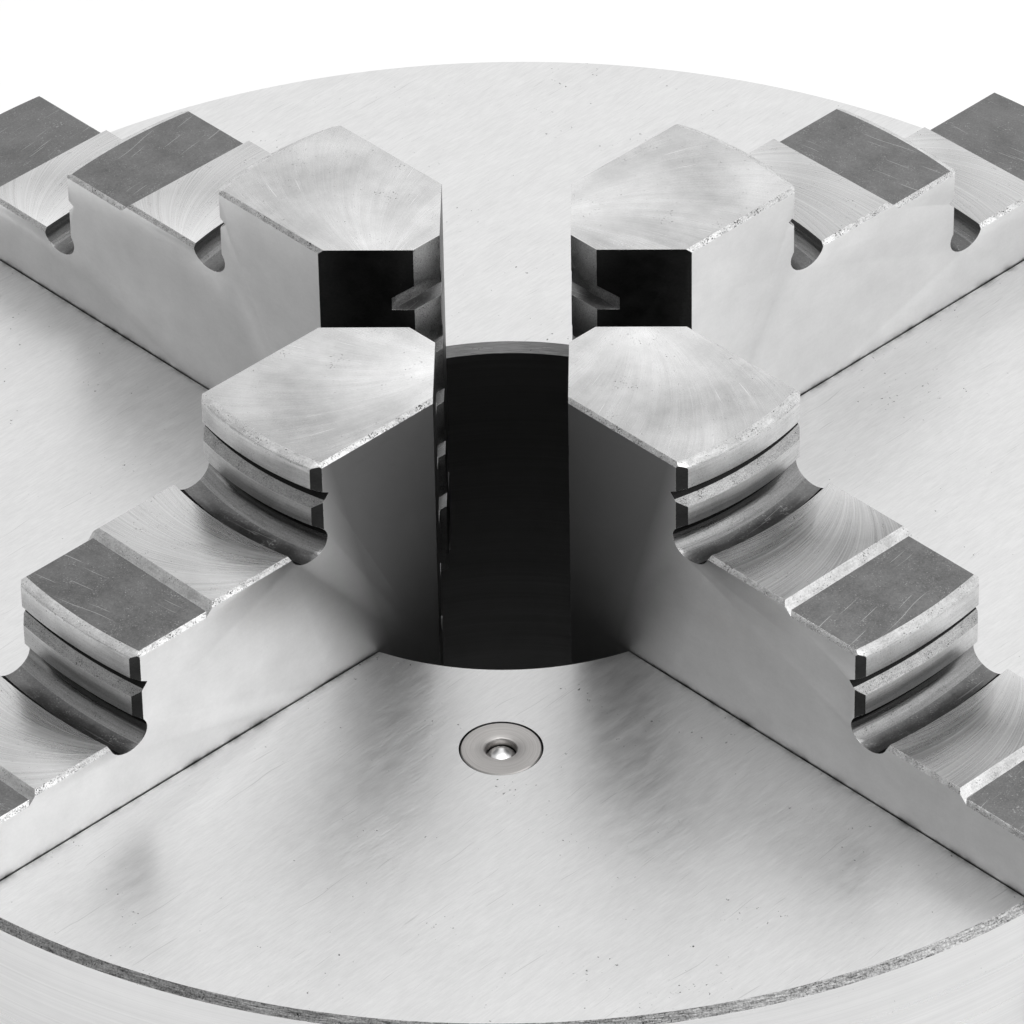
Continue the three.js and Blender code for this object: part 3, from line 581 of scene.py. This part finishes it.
def makeBody(p):
    rim, bore = p["rimChamfer"], p["boreChamfer"]
    body = spinOutline("chuckBody", [
        (p["bore"] + p["boreFoot"], p["registerDepth"]), (p["hub"], p["registerDepth"]), (p["hub"], p["web"]),
        (p["chamber"], p["web"]), (p["chamber"], p["coverSeat"]), (p["register"], p["coverSeat"]),
        (p["register"], p["registerEdge"]), (p["register"] + p["registerEdge"], 0),
        (p["radius"] - rim, 0), (p["radius"], rim), (p["radius"], p["face"] - rim),
        (p["radius"] - rim, p["face"]), (p["bore"] + bore, p["face"]), (p["bore"], p["face"] - bore),
        (p["bore"], p["registerDepth"] + p["boreFoot"])], p["steps"])
    slot = slotTool(p)
    bolt = movePiece(holeTool(p["boltHole"], p["boltDepth"], p["boltMouth"]), p["boltCircle"], 0)
    coverHole = holeTool(p["coverScrewHole"], p["coverScrewDepth"], p["coverScrewMouth"])
    movePiece(coverHole, p["coverScrewCircle"], 0, p["coverSeat"])
    retainer = holeTool(p["retainerHole"], p["pinionHeight"], p["retainerMouth"])
    movePiece(retainer, p["retainerCircle"], 0)
    start, hole, chamfer = p["bearingStart"], p["pinionBore"], p["bearingChamfer"]
    mouth = p["radius"] + chamfer
    bearing = spinOutline("bearing", [(0, start), (hole, start), (hole, p["radius"] - chamfer),
                                      (hole + 2 * chamfer, mouth), (0, mouth)], 64)
    layAlongX(bearing, p["pinionHeight"])
    journal = spinOutline("journal", [(0, p["journalStart"]), (p["journalHole"], p["journalStart"]),
                                      (p["journalHole"], p["journalEnd"]), (0, p["journalEnd"])], 32)
    layAlongX(journal, p["pinionHeight"])
    tools = []
    for turn in jawTurns.values():
        combine(body, turnPiece(copyPiece(slot, "slotCopy"), turn))
        tools += [turnPiece(copyPiece(tool, "holeCopy"), turn) for tool in (bolt, coverHole)]
    for turn in sideTurns.values():
        combine(body, turnPiece(copyPiece(bearing, "bearingCopy"), turn))
        tools += [turnPiece(copyPiece(tool, "holeCopy"), turn) for tool in (retainer, journal)]
    foot, floorHeight, top = p["web"] - past, p["face"] - p["oilerDepth"], p["face"] + past
    oiler = spinOutline("oilerTool", [(0, foot), (p["oilPassage"], foot), (p["oilPassage"], floorHeight),
                                      (p["oilerRadius"], floorHeight), (p["oilerRadius"], top), (0, top)], 64)
    tools.append(movePiece(oiler, 0, p["oilerPlace"]))
    combine(body, joinPieces(tools))
    mergeFlats(body)
    for tool in (slot, bolt, coverHole, retainer, bearing, journal):
        bpy.data.objects.remove(tool)
    names = ["bodyFace", "bodySide", "bodyChamfer", "bodyBore", "bodySlot", "bodyRear", "boreChamfer"]

    def choose(middle, normal):
        reach = math.hypot(middle.x, middle.y)
        if normal.z > 0.99 and middle.z > p["face"] - 0.1:
            return "bodyFace"
        if reach > p["radius"] - 1 and abs(normal.z) > 0.5:
            return "bodyChamfer"
        if p["bore"] < reach < p["bore"] + bore and normal.z > 0.5:
            return "boreChamfer"
        if reach > p["radius"] - 0.5 and abs(normal.z) < 0.1:
            return "bodySide"
        if reach < p["bore"] + 0.2 and abs(normal.z) < 0.1:
            return "bodyBore"
        if middle.z < p["registerDepth"] + 1:
            return "bodyRear"
        return "bodySlot"

    paintFaces(body, names, choose)
    smoothShade(body)
    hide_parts("chuck_body")
    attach(body, "chuck")


makeBody(bodyPlan)
print("body made")

# jaws: one blank, four sets of scroll teeth
jawPlan = {
    "nose": 13.79, "noseHalf": 2.27, "half": 10.63, "base": 55.5, "ends": (42.55, 71.75, 100.95),
    "tops": (32.81, 21.88, 9.76), "lands": (58.15, 86.87), "drop": 1.0, "edge": 0.5,
    "guideHigh": 68.0, "guideLow": 62.0, "guideDepth": 3.0, "topChamfer": (1.2, 0.6), "band": 3.0,
    "grooveHeight": 2.8, "grooveDepth": 1.7, "cornerChamfer": 0.8, "bite": 1.3, "reach": 4.51,
    "dip": 2.25, "nosePitch": 8.3, "noseLand": 4.7, "noseDepth": 2.0, "noseSlope": 1.8, "noseTop": 0.8,
    "crown": ((0.32, 0.72), (0.1, 0.88), (0, 1.25)), "grooveLip": 0.15, "grooveKnee": 1.0,
    "grooveShares": (0.35, 0.42, 0.63), "toothTip": 50.5, "tooth": 4.0, "pitch": 10.0, "ridgeStart": 45.0,
    "scrollRadius": 71.5, "toothCount": 6, "setback": 7.2, "joinDepth": 5, "bevel": 0.14, "bevelAngle": 28,
}


def barOutline(p, low, top, edge):  # cross-section with broken top corners
    half = p["half"]
    side = [(half, low), (half, top - edge), (half - edge, top)]
    return [(y, z) for y, z in side] + [(-y, z) for y, z in reversed(side)]


def makeBar(p, start, end, low, top, edge, slope=0.0):
    outline = [(start, y, z) for y, z in barOutline(p, low, top, edge)]
    bar = extrudeOutline("bar", outline, (end - start, 0, 0))
    for vertex in bar.data.vertices:
        if slope and vertex.co.x > (end - 1e-4) * mm:
            vertex.co.x += (top * mm - vertex.co.z) * slope
    return bar


def riserTool(p, radius, top, land):
    half = (p["bite"] + p["reach"]) / 2
    middle = radius - p["bite"] + half
    start = math.acos((radius - middle) / half)
    steps = 18
    channel = []
    for i in range(steps + 1):
        angle = start + (2 * math.pi - start) * i / steps
        channel.append((middle + half * math.cos(angle), land + p["dip"] * math.sin(angle)))
    run, rise = p["topChamfer"]
    groove = top - rise - p["band"]
    rounded = [(radius - run, top)] + [(radius - back, top - rise * share) for back, share in p["crown"]]
    root, deep, knee = (groove - p["grooveHeight"] * share for share in p["grooveShares"])
    above = top + 0.3 * past
    outline = [(radius - run, above)] + rounded + [
        (radius, groove), (radius - p["grooveDepth"], root),
        (radius - p["grooveDepth"] + p["grooveLip"], deep), (radius - p["grooveKnee"], knee),
        (radius, groove - p["grooveHeight"])] + channel + [
        (radius + p["reach"], above)]
    return spinOutline("riserTool", outline, 60, 42)


def cornerTools(p, radius, top, land):
    corner = math.sqrt(radius ** 2 - p["half"] ** 2) - p["cornerChamfer"]
    reach = p["cornerChamfer"] + 3 * past
    tools = []
    for side in (1, -1):
        outer = side * (p["half"] + past)
        outline = [(corner, side * p["half"], land), (corner + reach, side * (p["half"] - reach), land),
                   (corner + reach, outer, land), (corner, outer, land)]
        tools.append(extrudeOutline("cornerTool", outline, (0, 0, top - land + past)))
    return tools


def noseTools(p, face):
    nose, half, width = p["nose"], p["noseHalf"], p["half"]
    top = face + p["tops"][0]
    wedges = []
    for side in (1, -1):
        outline = [(nose - past, side * (half - past)), (nose - past, side * (width + 2 * past)),
                   (nose + width + 2 * past - half, side * (width + 2 * past))]
        wedges.append(extrudeOutline("wedge", [(x, y, p["toothTip"] - past) for x, y in outline],
                                     (0, 0, top - p["toothTip"] + 2 * past)))
    grooves = []
    level = top - p["noseTop"] - p["noseLand"]
    while level - p["nosePitch"] > p["base"]:
        foot = level - p["nosePitch"] + p["noseLand"]
        outline = [(nose - past, level), (nose, level), (nose + p["noseDepth"], level - p["noseSlope"]),
                   (nose + p["noseDepth"], foot), (nose - past, foot)]
        grooves.append(extrudeOutline("groove", [(x, -width - past, z) for x, z in outline],
                                      (0, 2 * width + 2 * past, 0)))
        level -= p["nosePitch"]
    return wedges, grooves


def scrollTeeth(p, turn):  # a quarter pitch apart from jaw to jaw
    first = p["ridgeStart"] + p["pitch"] / 2 + p["pitch"] * turn / 360
    least = p["nose"] + p["setback"]
    first -= p["pitch"] * math.floor((first - least) / p["pitch"])
    teeth = []
    steps = 12
    across = [p["half"] * (2 * i / steps - 1) for i in range(steps + 1)]
    for i in range(p["toothCount"]):
        middle = first + i * p["pitch"]
        outer = [(middle + p["tooth"] / 2 - p["ridgeStart"] + math.sqrt(p["ridgeStart"] ** 2 - y * y), y)
                 for y in across]
        inner = [(middle - p["tooth"] / 2 - p["scrollRadius"] + math.sqrt(p["scrollRadius"] ** 2 - y * y), y)
                 for y in reversed(across)]
        outline = [(x, y, p["toothTip"]) for x, y in outer + inner]
        teeth.append(extrudeOutline("tooth", outline, (0, 0, p["base"] - p["toothTip"] + 0.5 * past)))
    return teeth


def makeJawBlank(p, face):
    nose, half = p["nose"], p["half"]
    ends, tops = p["ends"], [face + height for height in p["tops"]]
    side = [(half, p["base"]), (half, p["guideLow"]), (half - p["guideDepth"], p["guideLow"]),
            (half - p["guideDepth"], p["guideHigh"]), (half, p["guideHigh"]),
            (half, tops[2] - p["drop"] - p["edge"]), (half - p["edge"], tops[2] - p["drop"])]
    outline = [(nose, y, z) for y, z in side] + [(nose, -y, z) for y, z in reversed(side)]
    jaw = extrudeOutline("jawBlank", outline, (ends[2] - nose, 0, 0))
    low = [height - p["joinDepth"] for height in tops]
    combine(jaw, makeBar(p, nose, p["lands"][1], low[2], tops[2], p["edge"], 1.0), "UNION")
    combine(jaw, makeBar(p, nose, ends[1], low[2] - 1, tops[1] - p["drop"], p["edge"]), "UNION")
    combine(jaw, makeBar(p, nose, p["lands"][0], low[1], tops[1], p["edge"], 1.0), "UNION")
    combine(jaw, makeBar(p, nose, ends[0], low[1] - 1, tops[0], p["edge"]), "UNION")
    for i in range(2):
        top = tops[i] - (p["drop"] if i else 0)
        combine(jaw, riserTool(p, ends[i], top, tops[i + 1]))
        for tool in cornerTools(p, ends[i], top, tops[i + 1]):
            combine(jaw, tool)
    foot, top, outer = p["toothTip"] - past, tops[2] + past, ends[2] + 3 * past
    endTool = spinOutline("endTool", [(ends[2], foot), (outer, foot), (outer, top), (ends[2], top)], 24, 20)
    return combine(jaw, endTool)


def finishJaw(jaw, p, face, turn, name):
    combine(jaw, joinPieces(scrollTeeth(p, turn)), "UNION")
    wedges, grooves = noseTools(p, face)
    combine(jaw, joinPieces(grooves))
    combine(jaw, joinPieces(wedges))
    mergeFlats(jaw)
    # painted shade: the front right jaw takes the darker land copies
    landShade = "Dull" if name == "jaw_front_right" else ""
    inner, outer = "jawLandInner" + landShade, "jawLandOuter" + landShade
    # painted shade: the front jaws take the flank copy with the painted shade
    flank = "jawFlankFront" if "front" in name else "jawFlank"
    # painted shade: on the front jaws the far channel wall gets the black jawShade finish, standing in for
    # the dark riser it reflects
    farWall = "jawChannel" if "back" in name else "jawShade"
    names = ["jawTop", inner, flank, "jawRelief", "jawBlack", "jawRiser", "jawGroove", "jawEdge", outer,
             "jawChannel", "jawShade", "jawCrest"]
    ends, tops = p["ends"], [face + height for height in p["tops"]]
    levels = [tops[0], tops[1] - p["drop"]]  # where each riser starts
    noseRoot = p["nose"] + p["noseDepth"]

    def chooseFlat(middle):  # faces that look up
        if middle.z > tops[0] - 0.1:
            return "jawTop"
        if abs(middle.z - tops[1]) < 0.1:
            return inner
        if abs(middle.z - tops[2]) < 0.1:
            return outer
        return "jawRelief" if middle.z > face + 5 else None

    def chooseRiser(middle, normal):  # crown, bands, groove and channel of a riser
        reach = math.hypot(middle.x, middle.y)
        for end, level, land in zip(ends, levels, tops[1:]):
            if not (end - 3 < reach < end + 5 and land - 3 < middle.z < level):
                continue
            if level - middle.z < p["topChamfer"][1] * 1.3:
                return "jawCrest"
            if middle.z < land + p["dip"]:
                return farWall if reach > end + 1.3 else "jawShade" if normal.z < -0.1 else "jawChannel"
            if abs(normal.z) < 0.08:
                return "jawRiser"
            return "jawGroove" if normal.z > 0 and reach > end - 1 else "jawShade"
        return None

    def choose(middle, normal):
        if abs(normal.y) > 0.99 and abs(abs(middle.y) - p["half"]) < 0.05:
            return flank
        if normal.z > 0.95 and chooseFlat(middle):
            return chooseFlat(middle)
        if abs(abs(normal.x) - 0.707) < 0.03 and abs(abs(normal.y) - 0.707) < 0.03:
            return "jawBlack"  # the nose's two slanted faces; the black is a painted dark reflection
        if abs(normal.z) > 0.5 and abs(normal.y) > 0.5 and middle.z > face:
            return "jawEdge"
        if normal.x < -0.99:
            return "jawGroove"
        if middle.x < noseRoot + 0.5 and abs(normal.z) > 0.3 and middle.z < tops[0] - 1:
            return "jawRelief"
        if middle.z < face - 1:
            return flank
        # what is left slopes down from a land to the lower face beyond it
        slope = "jawCrest" if normal.z > 0.5 and normal.x > 0.5 else flank
        return chooseRiser(middle, normal) or slope

    paintFaces(jaw, names, choose)
    roundEdges(jaw, p["bevel"], p["bevelAngle"], 2, names.index("jawEdge"))
    rememberPlace(jaw)
    turnPiece(jaw, turn)
    smoothShade(jaw)
    jaw.name = name.replace("jaw_", "jaw").replace("_", "")
    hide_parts(name)
    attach(jaw, name)
    print(name, "made:", len(jaw.data.polygons), "faces")


jawBlank = makeJawBlank(jawPlan, bodyPlan["face"])
for jawName, jawTurn in jawTurns.items():
    finishJaw(copyPiece(jawBlank, jawName + "Work"), jawPlan, bodyPlan["face"], jawTurn, jawName)
bpy.data.objects.remove(jawBlank)

# rear cover, its cap screws and the set screws that hold the pinions
coverPlan = {"inner": 42.5, "outer": 82.2, "low": 5.0, "high": 14.7, "edge": 0.4, "circle": 77.2,
             "seat": 9.9, "seatRadius": 4.55, "hole": 2.8, "mouth": 0.3}
coverScrewPlan = {"head": 4.25, "start": 5.3, "seat": 9.9, "edge": 0.4, "shank": 2.5, "end": 26.0,
                  "socket": 2.4, "socketDepth": 2.5, "threadPitch": 0.8}
retainerPlan = {"radius": 4.0, "start": 0.8, "cone": 14.8, "shoulder": 15.8, "dog": 1.6, "end": 18.2,
                "socket": 2.5, "socketDepth": 4.0, "threadPitch": 1.25}


def makeCover(p):
    low, high, edge = p["low"], p["high"], p["edge"]
    cover = spinOutline("rearCover", [
        (p["inner"], low + edge), (p["inner"] + edge, low), (p["outer"] - edge, low),
        (p["outer"], low + edge),
        (p["outer"], high - edge), (p["outer"] - edge, high), (p["inner"] + edge, high),
        (p["inner"], high - edge)], 180)
    seat = movePiece(spinOutline("seatTool", [
        (0, low - past), (p["seatRadius"] + p["mouth"] + past, low - past),
        (p["seatRadius"], low + p["mouth"]), (p["seatRadius"], p["seat"]), (p["hole"], p["seat"]),
        (p["hole"], high + past), (0, high + past)], 48), p["circle"], 0)
    tools = [turnPiece(copyPiece(seat, "seatCopy"), turn) for turn in jawTurns.values()]
    combine(cover, joinPieces(tools))
    bpy.data.objects.remove(seat)
    paintFaces(cover, ["cover"])
    smoothShade(cover)
    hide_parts("rear_cover")
    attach(cover, "chuck")


def threadedSide(radius, start, end, pitch, depth=0.35, flat=0.1):  # rows of a fine thread, as rings
    rows = []
    for i in range(int((end - start) / pitch)):
        low = start + i * pitch
        root = radius - depth
        rows += [(root, low + flat), (radius, low + pitch * 0.5), (root, low + pitch - flat)]
    return rows


def makeScrew(p, outline, low, name):
    screw = spinOutline(name, outline, 40)
    socket = [(x, y, low - past) for x, y, z in hexOutline(p["socket"])]
    tool = extrudeOutline("socketTool", socket, (0, 0, p["socketDepth"] + past))
    combine(screw, tool)
    roundEdges(screw, 0.08, 50, 1)
    rememberPlace(screw)
    paintFaces(screw, ["screw"])
    return screw


def makeScrews():
    p = coverScrewPlan
    capScrew = makeScrew(p, [
        (0, p["start"]), (p["head"] - p["edge"], p["start"]), (p["head"], p["start"] + p["edge"]),
        (p["head"], p["seat"]), (p["shank"], p["seat"])]
        + threadedSide(p["shank"], p["seat"] + 5.2, p["end"] - 0.6, p["threadPitch"])
        + [(p["shank"] - 0.5, p["end"]), (0, p["end"])], p["start"], "capScrew")
    q = retainerPlan
    setScrew = makeScrew(q, [(0, q["start"]), (q["radius"] - 0.4, q["start"])]
                         + threadedSide(q["radius"], q["start"] + 0.4, q["cone"], q["threadPitch"])
                         + [(q["dog"], q["shoulder"]), (q["dog"], q["end"] - 0.2),
                            (q["dog"] - 0.2, q["end"]), (0, q["end"])], q["start"], "setScrew")
    rows = [(capScrew, "cover_screw_", jawTurns, coverPlan["circle"]),
            (setScrew, "pinion_screw_", sideTurns, bodyPlan["retainerCircle"])]
    for screw, stem, turns, circle in rows:
        for key, turn in turns.items():
            node = stem + key.replace("jaw_", "")
            twin = turnPiece(movePiece(copyPiece(screw, node.replace("_", "")), circle, 0), turn)
            smoothShade(twin)
            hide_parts(node)
            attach(twin, "chuck")
        bpy.data.objects.remove(screw)


makeCover(coverPlan)
makeScrews()
print("cover and screws made")

# pinions with their square key sockets
pinionPlan = {"teeth": 10, "pitch": 10.0, "tip": 11.8, "root": 7.9, "pressure": 25.0, "backlash": 0.4,
              "gearOuter": 60.0, "gearInner": 49.5, "headEnd": 60.8, "radius": 12.0, "start": 60.3,
              "end": 98.5, "chamfer": 1.0, "groove": 10.0, "grooveHalf": 1.9, "journal": 4.5,
              "journalStart": 39.2, "journalEdge": 0.5, "shankEdge": 0.3, "grooveEdge": 0.2, "square": 5.5,
              "squareDepth": 20.0, "squareChamfer": 0.5, "squareRound": 0.5}


def toothedOutline(p):
    base = p["pitch"] * math.cos(math.radians(p["pressure"]))

    def involute(angle):
        return math.tan(angle) - angle

    half = math.pi / 2 / p["teeth"] - p["backlash"] / 2 / p["pitch"] + involute(math.radians(p["pressure"]))
    radii = [base + (p["tip"] - base) * i / 6 for i in range(7)]
    spread = [(r, half - involute(math.acos(base / r))) for r in radii]
    points = []
    for i in range(p["teeth"]):  # each tooth has an involute on both sides
        middle = 2 * math.pi * i / p["teeth"] + math.pi / 2
        rising = [(r, middle - a) for r, a in spread]
        falling = [(r, middle + a) for r, a in reversed(spread)]
        points += [(p["root"], middle - half)] + rising + falling + [(p["root"], middle + half)]
    return points


def makePinion(p):
    big = p["gearOuter"]
    foot = [(p["gearInner"], r * p["gearInner"] / big * math.cos(a), r * p["gearInner"] / big * math.sin(a))
            for r, a in toothedOutline(p)]
    head = extrudeOutline("pinionHead", foot, (p["headEnd"] - p["gearInner"], 0, 0))
    for vertex in head.data.vertices:
        if vertex.co.x > (p["headEnd"] - 0.01) * mm:
            scale = p["headEnd"] / p["gearInner"]
            vertex.co.y *= scale
            vertex.co.z *= scale
    radius, middle, side, cut = p["radius"], bodyPlan["retainerCircle"], p["grooveHalf"], p["grooveEdge"]
    shank = layAlongX(spinOutline("pinionShank", [
        (0, p["start"]), (radius - p["shankEdge"], p["start"]), (radius, p["start"] + p["shankEdge"]),
        (radius, middle - side - cut), (radius - cut, middle - side), (p["groove"], middle - side),
        (p["groove"], middle + side), (radius - cut, middle + side), (radius, middle + side + cut),
        (radius, p["end"] - p["chamfer"]), (radius - p["chamfer"], p["end"]), (0, p["end"])], 96), 0)
    edge, root = p["journalEdge"], p["gearInner"] + 0.5 * past
    journal = layAlongX(spinOutline("journalEnd", [
        (0, p["journalStart"]), (p["journal"] - edge, p["journalStart"]),
        (p["journal"], p["journalStart"] + edge), (p["journal"], root), (0, root)], 40), 0)
    combine(shank, head, "UNION")
    combine(shank, journal, "UNION")
    square, mouth = p["square"], p["squareChamfer"]
    start = p["end"] - p["squareDepth"]
    corners = [(-square, -square), (square, -square), (square, square), (-square, square)]
    tool = extrudeOutline("squareTool", [(start, y, z) for y, z in corners], (p["squareDepth"] + past, 0, 0))
    roundEdges(tool, p["squareRound"], 80, 3)
    combine(shank, tool)
    cone = extrudeOutline("mouthTool", [(p["end"] - mouth, y, z) for y, z in corners], (mouth * 2, 0, 0))
    for vertex in cone.data.vertices:
        if vertex.co.x > p["end"] * mm:
            vertex.co.y *= 1 + 2 * mouth / square
            vertex.co.z *= 1 + 2 * mouth / square
    combine(shank, cone)
    mergeFlats(shank)
    rememberPlace(shank)
    paintFaces(shank, ["pinion", "pinionEnd"], lambda place, normal:
               "pinionEnd" if normal.x > 0.9 and place.x > p["end"] - 0.1 else "pinion")
    movePiece(shank, 0, 0, bodyPlan["pinionHeight"])
    for side, turn in sideTurns.items():
        pinion = turnPiece(copyPiece(shank, "pinion" + side), turn)
        smoothShade(pinion)
        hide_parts("pinion_" + side)
        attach(pinion, "pinion_" + side)
    bpy.data.objects.remove(shank)


makePinion(pinionPlan)
print("pinions made")

# ball oiler in the face
oilerPlan = {"radius": 4.94, "mouth": 1.9, "length": 9.0, "edge": 0.14, "footEdge": 0.3, "lip": 1.0,
             "cavity": 2.8, "floor": 1.4, "passage": 1.5, "ball": 2.29, "ballRows": 20}
springPlan = {"wire": 0.25, "wireSides": 12, "coil": 1.74, "turns": 3, "turnSteps": 28, "press": 1.0}


def makeOiler(p):
    face, foot = bodyPlan["face"], bodyPlan["face"] - p["length"]
    sleeve = spinOutline("oilerSleeve", [
        (p["passage"], foot), (p["radius"] - p["footEdge"], foot), (p["radius"], foot + p["footEdge"]),
        (p["radius"], face - p["edge"]), (p["radius"] - p["edge"], face), (p["mouth"] + 0.25, face),
        (p["mouth"] + 0.08, face - 0.08), (p["mouth"], face - 0.25), (p["mouth"], face - p["lip"]),
        (p["cavity"], face - p["lip"]), (p["cavity"], foot + p["floor"]),
        (p["passage"], foot + p["floor"])], 96)
    rememberPlace(sleeve)
    paintFaces(sleeve, ["oiler", "oilerInside"], lambda middle, normal:
               "oilerInside" if math.hypot(middle.x, middle.y) < p["mouth"] + 0.02 else "oiler")
    low, high = (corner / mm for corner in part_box("oiler_ball"))
    centre, rows = (low.z + high.z) / 2, p["ballRows"]
    ball = spinOutline("oilerBall", [
        (p["ball"] * math.sin(math.pi * i / rows), centre - p["ball"] * math.cos(math.pi * i / rows))
        for i in range(rows + 1)], 40)
    paintFaces(ball, ["ball"])
    for piece, node, body, slot in ((sleeve, "oiler_body", "chuck", "oiler_metal"),
                                    (ball, "oiler_ball", "ball", "ball_steel")):
        movePiece(piece, 0, bodyPlan["oilerPlace"])
        smoothShade(piece)
        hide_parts(node)
        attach(piece, body)


def makeSpring(p):  # coil under the ball
    low, high = (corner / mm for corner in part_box("oiler_spring"))
    wire, sides = p["wire"], p["wireSides"]
    spring = layOutline("oilerSpring", [
        (p["coil"] + wire * math.cos(2 * math.pi * i / sides), 0,
         low.z + wire + wire * math.sin(2 * math.pi * i / sides)) for i in range(sides)], "NOTHING")
    takeUp(spring)
    wind = spring.modifiers.new("wind", "SCREW")
    wind.screw_offset = (high.z - low.z - 2 * wire) / p["turns"] * mm
    wind.iterations = p["turns"]
    wind.steps = wind.render_steps = p["turnSteps"]
    bpy.ops.object.modifier_apply(modifier=wind.name)
    editAll(spring)
    bpy.ops.mesh.fill_holes(sides=0)
    leaveEdit()
    paintFaces(spring, ["spring"])
    movePiece(spring, 0, bodyPlan["oilerPlace"])
    smoothShade(spring)
    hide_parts("oiler_spring")
    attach(spring, "chuck")
    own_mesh(spring)


makeOiler(oilerPlan)
makeSpring(springPlan)
for entry in bpy.data.objects["scroll_plate"].material_slots:  # shape kept from the CAD
    entry.material = steel["scroll"]
print("oiler made")

# floor, lamps, surround and camera
bpy.ops.object.select_all(action="DESELECT")
floorPlan = {"size": 12, "colour": grey(0.93), "roughness": 0.9}
bpy.ops.mesh.primitive_plane_add(size=floorPlan["size"])
floor = bpy.context.object
floor.name = "floor"
floorPaint = bpy.data.materials.new("floorPaint")
floorPaint.use_nodes = True
floorShader = floorPaint.node_tree.nodes["Principled BSDF"]
floorShader.inputs["Base Color"].default_value = (*floorPlan["colour"], 1)
floorShader.inputs["Roughness"].default_value = floorPlan["roughness"]
floor.data.materials.append(floorPaint)

lampPlan = {  # places and sizes in metres
    "top": {"place": (0.1, -0.25, 1.7), "size": 1.2, "power": 12.5},
    "side": {"place": (0.8, -0.42, 0.72), "size": 0.7, "power": 1.4},
}


def makeLamp(name, plan):
    lamp = bpy.data.lights.new(name, "AREA")
    lamp.shape = "SQUARE"
    lamp.size = plan["size"]
    lamp.energy = plan["power"]
    holder = bpy.data.objects.new(name, lamp)
    bpy.context.scene.collection.objects.link(holder)
    place = Vector(plan["place"])
    holder.location = place
    target = Vector((0, 0, 0.08))
    holder.rotation_euler = (target - place).to_track_quat("-Z", "Y").to_euler()


for lampName, lampValues in lampPlan.items():
    makeLamp(lampName, lampValues)

# soft surround: brighter on the right and behind, darker on the left
surroundPlan = {"base": 0.47, "right": 0.64, "back": 0.6, "front": -0.43, "overhead": 0.15}


def makeSurround(p):
    world = bpy.data.worlds.new("studio")
    bpy.context.scene.world = world
    world.use_nodes = True
    tree = world.node_tree
    source = tree.nodes.new("ShaderNodeTexCoord")
    split = tree.nodes.new("ShaderNodeSeparateXYZ")
    tree.links.new(source.outputs["Generated"], split.inputs[0])
    right = rangeNode(tree, split.outputs["X"], 0.05, 0.95)
    back = rangeNode(tree, split.outputs["Y"], 0.1, 0.9)
    front = rangeNode(tree, split.outputs["Y"], -0.2, -0.9)
    overhead = rangeNode(tree, split.outputs["Z"], 0.6, 1.0)
    level = mathNode(tree, "MULTIPLY_ADD", right, p["right"], p["base"])
    for share, key in ((back, "back"), (front, "front"), (overhead, "overhead")):
        level = mathNode(tree, "MULTIPLY_ADD", share, p[key], level)
    tree.nodes["Background"].inputs["Color"].default_value = (1, 1, 1, 1)
    tree.links.new(level, tree.nodes["Background"].inputs["Strength"])


makeSurround(surroundPlan)
bpy.context.scene.view_settings.view_transform = "Standard"

cameraPlan = {"azimuth": 1.55, "elevation": 37.35, "roll": -1.08, "distance": 0.89607, "lens": 251.11,
              "aim": (0.00058, -0.00237)}


def makeCamera(p):
    camera = bpy.data.cameras.new("camera")
    camera.lens = p["lens"]
    camera.sensor_width = 36
    camera.clip_end = 50
    holder = bpy.data.objects.new("camera", camera)
    bpy.context.scene.collection.objects.link(holder)
    azimuth, elevation, roll = (math.radians(p[key]) for key in ("azimuth", "elevation", "roll"))
    back = Vector((math.sin(azimuth) * math.cos(elevation), -math.cos(azimuth) * math.cos(elevation),
                   math.sin(elevation)))
    right = Vector((math.cos(azimuth), math.sin(azimuth), 0))
    up = back.cross(right)
    across = right * math.cos(roll) + up * math.sin(roll)
    upward = up * math.cos(roll) - right * math.sin(roll)
    place = Vector((*p["aim"], bodyPlan["face"] * mm)) + back * p["distance"]
    turned = Matrix((across, upward, back)).transposed().to_4x4()
    holder.matrix_world = Matrix.Translation(place) @ turned
    bpy.context.scene.camera = holder


makeCamera(cameraPlan)

print("scene made")
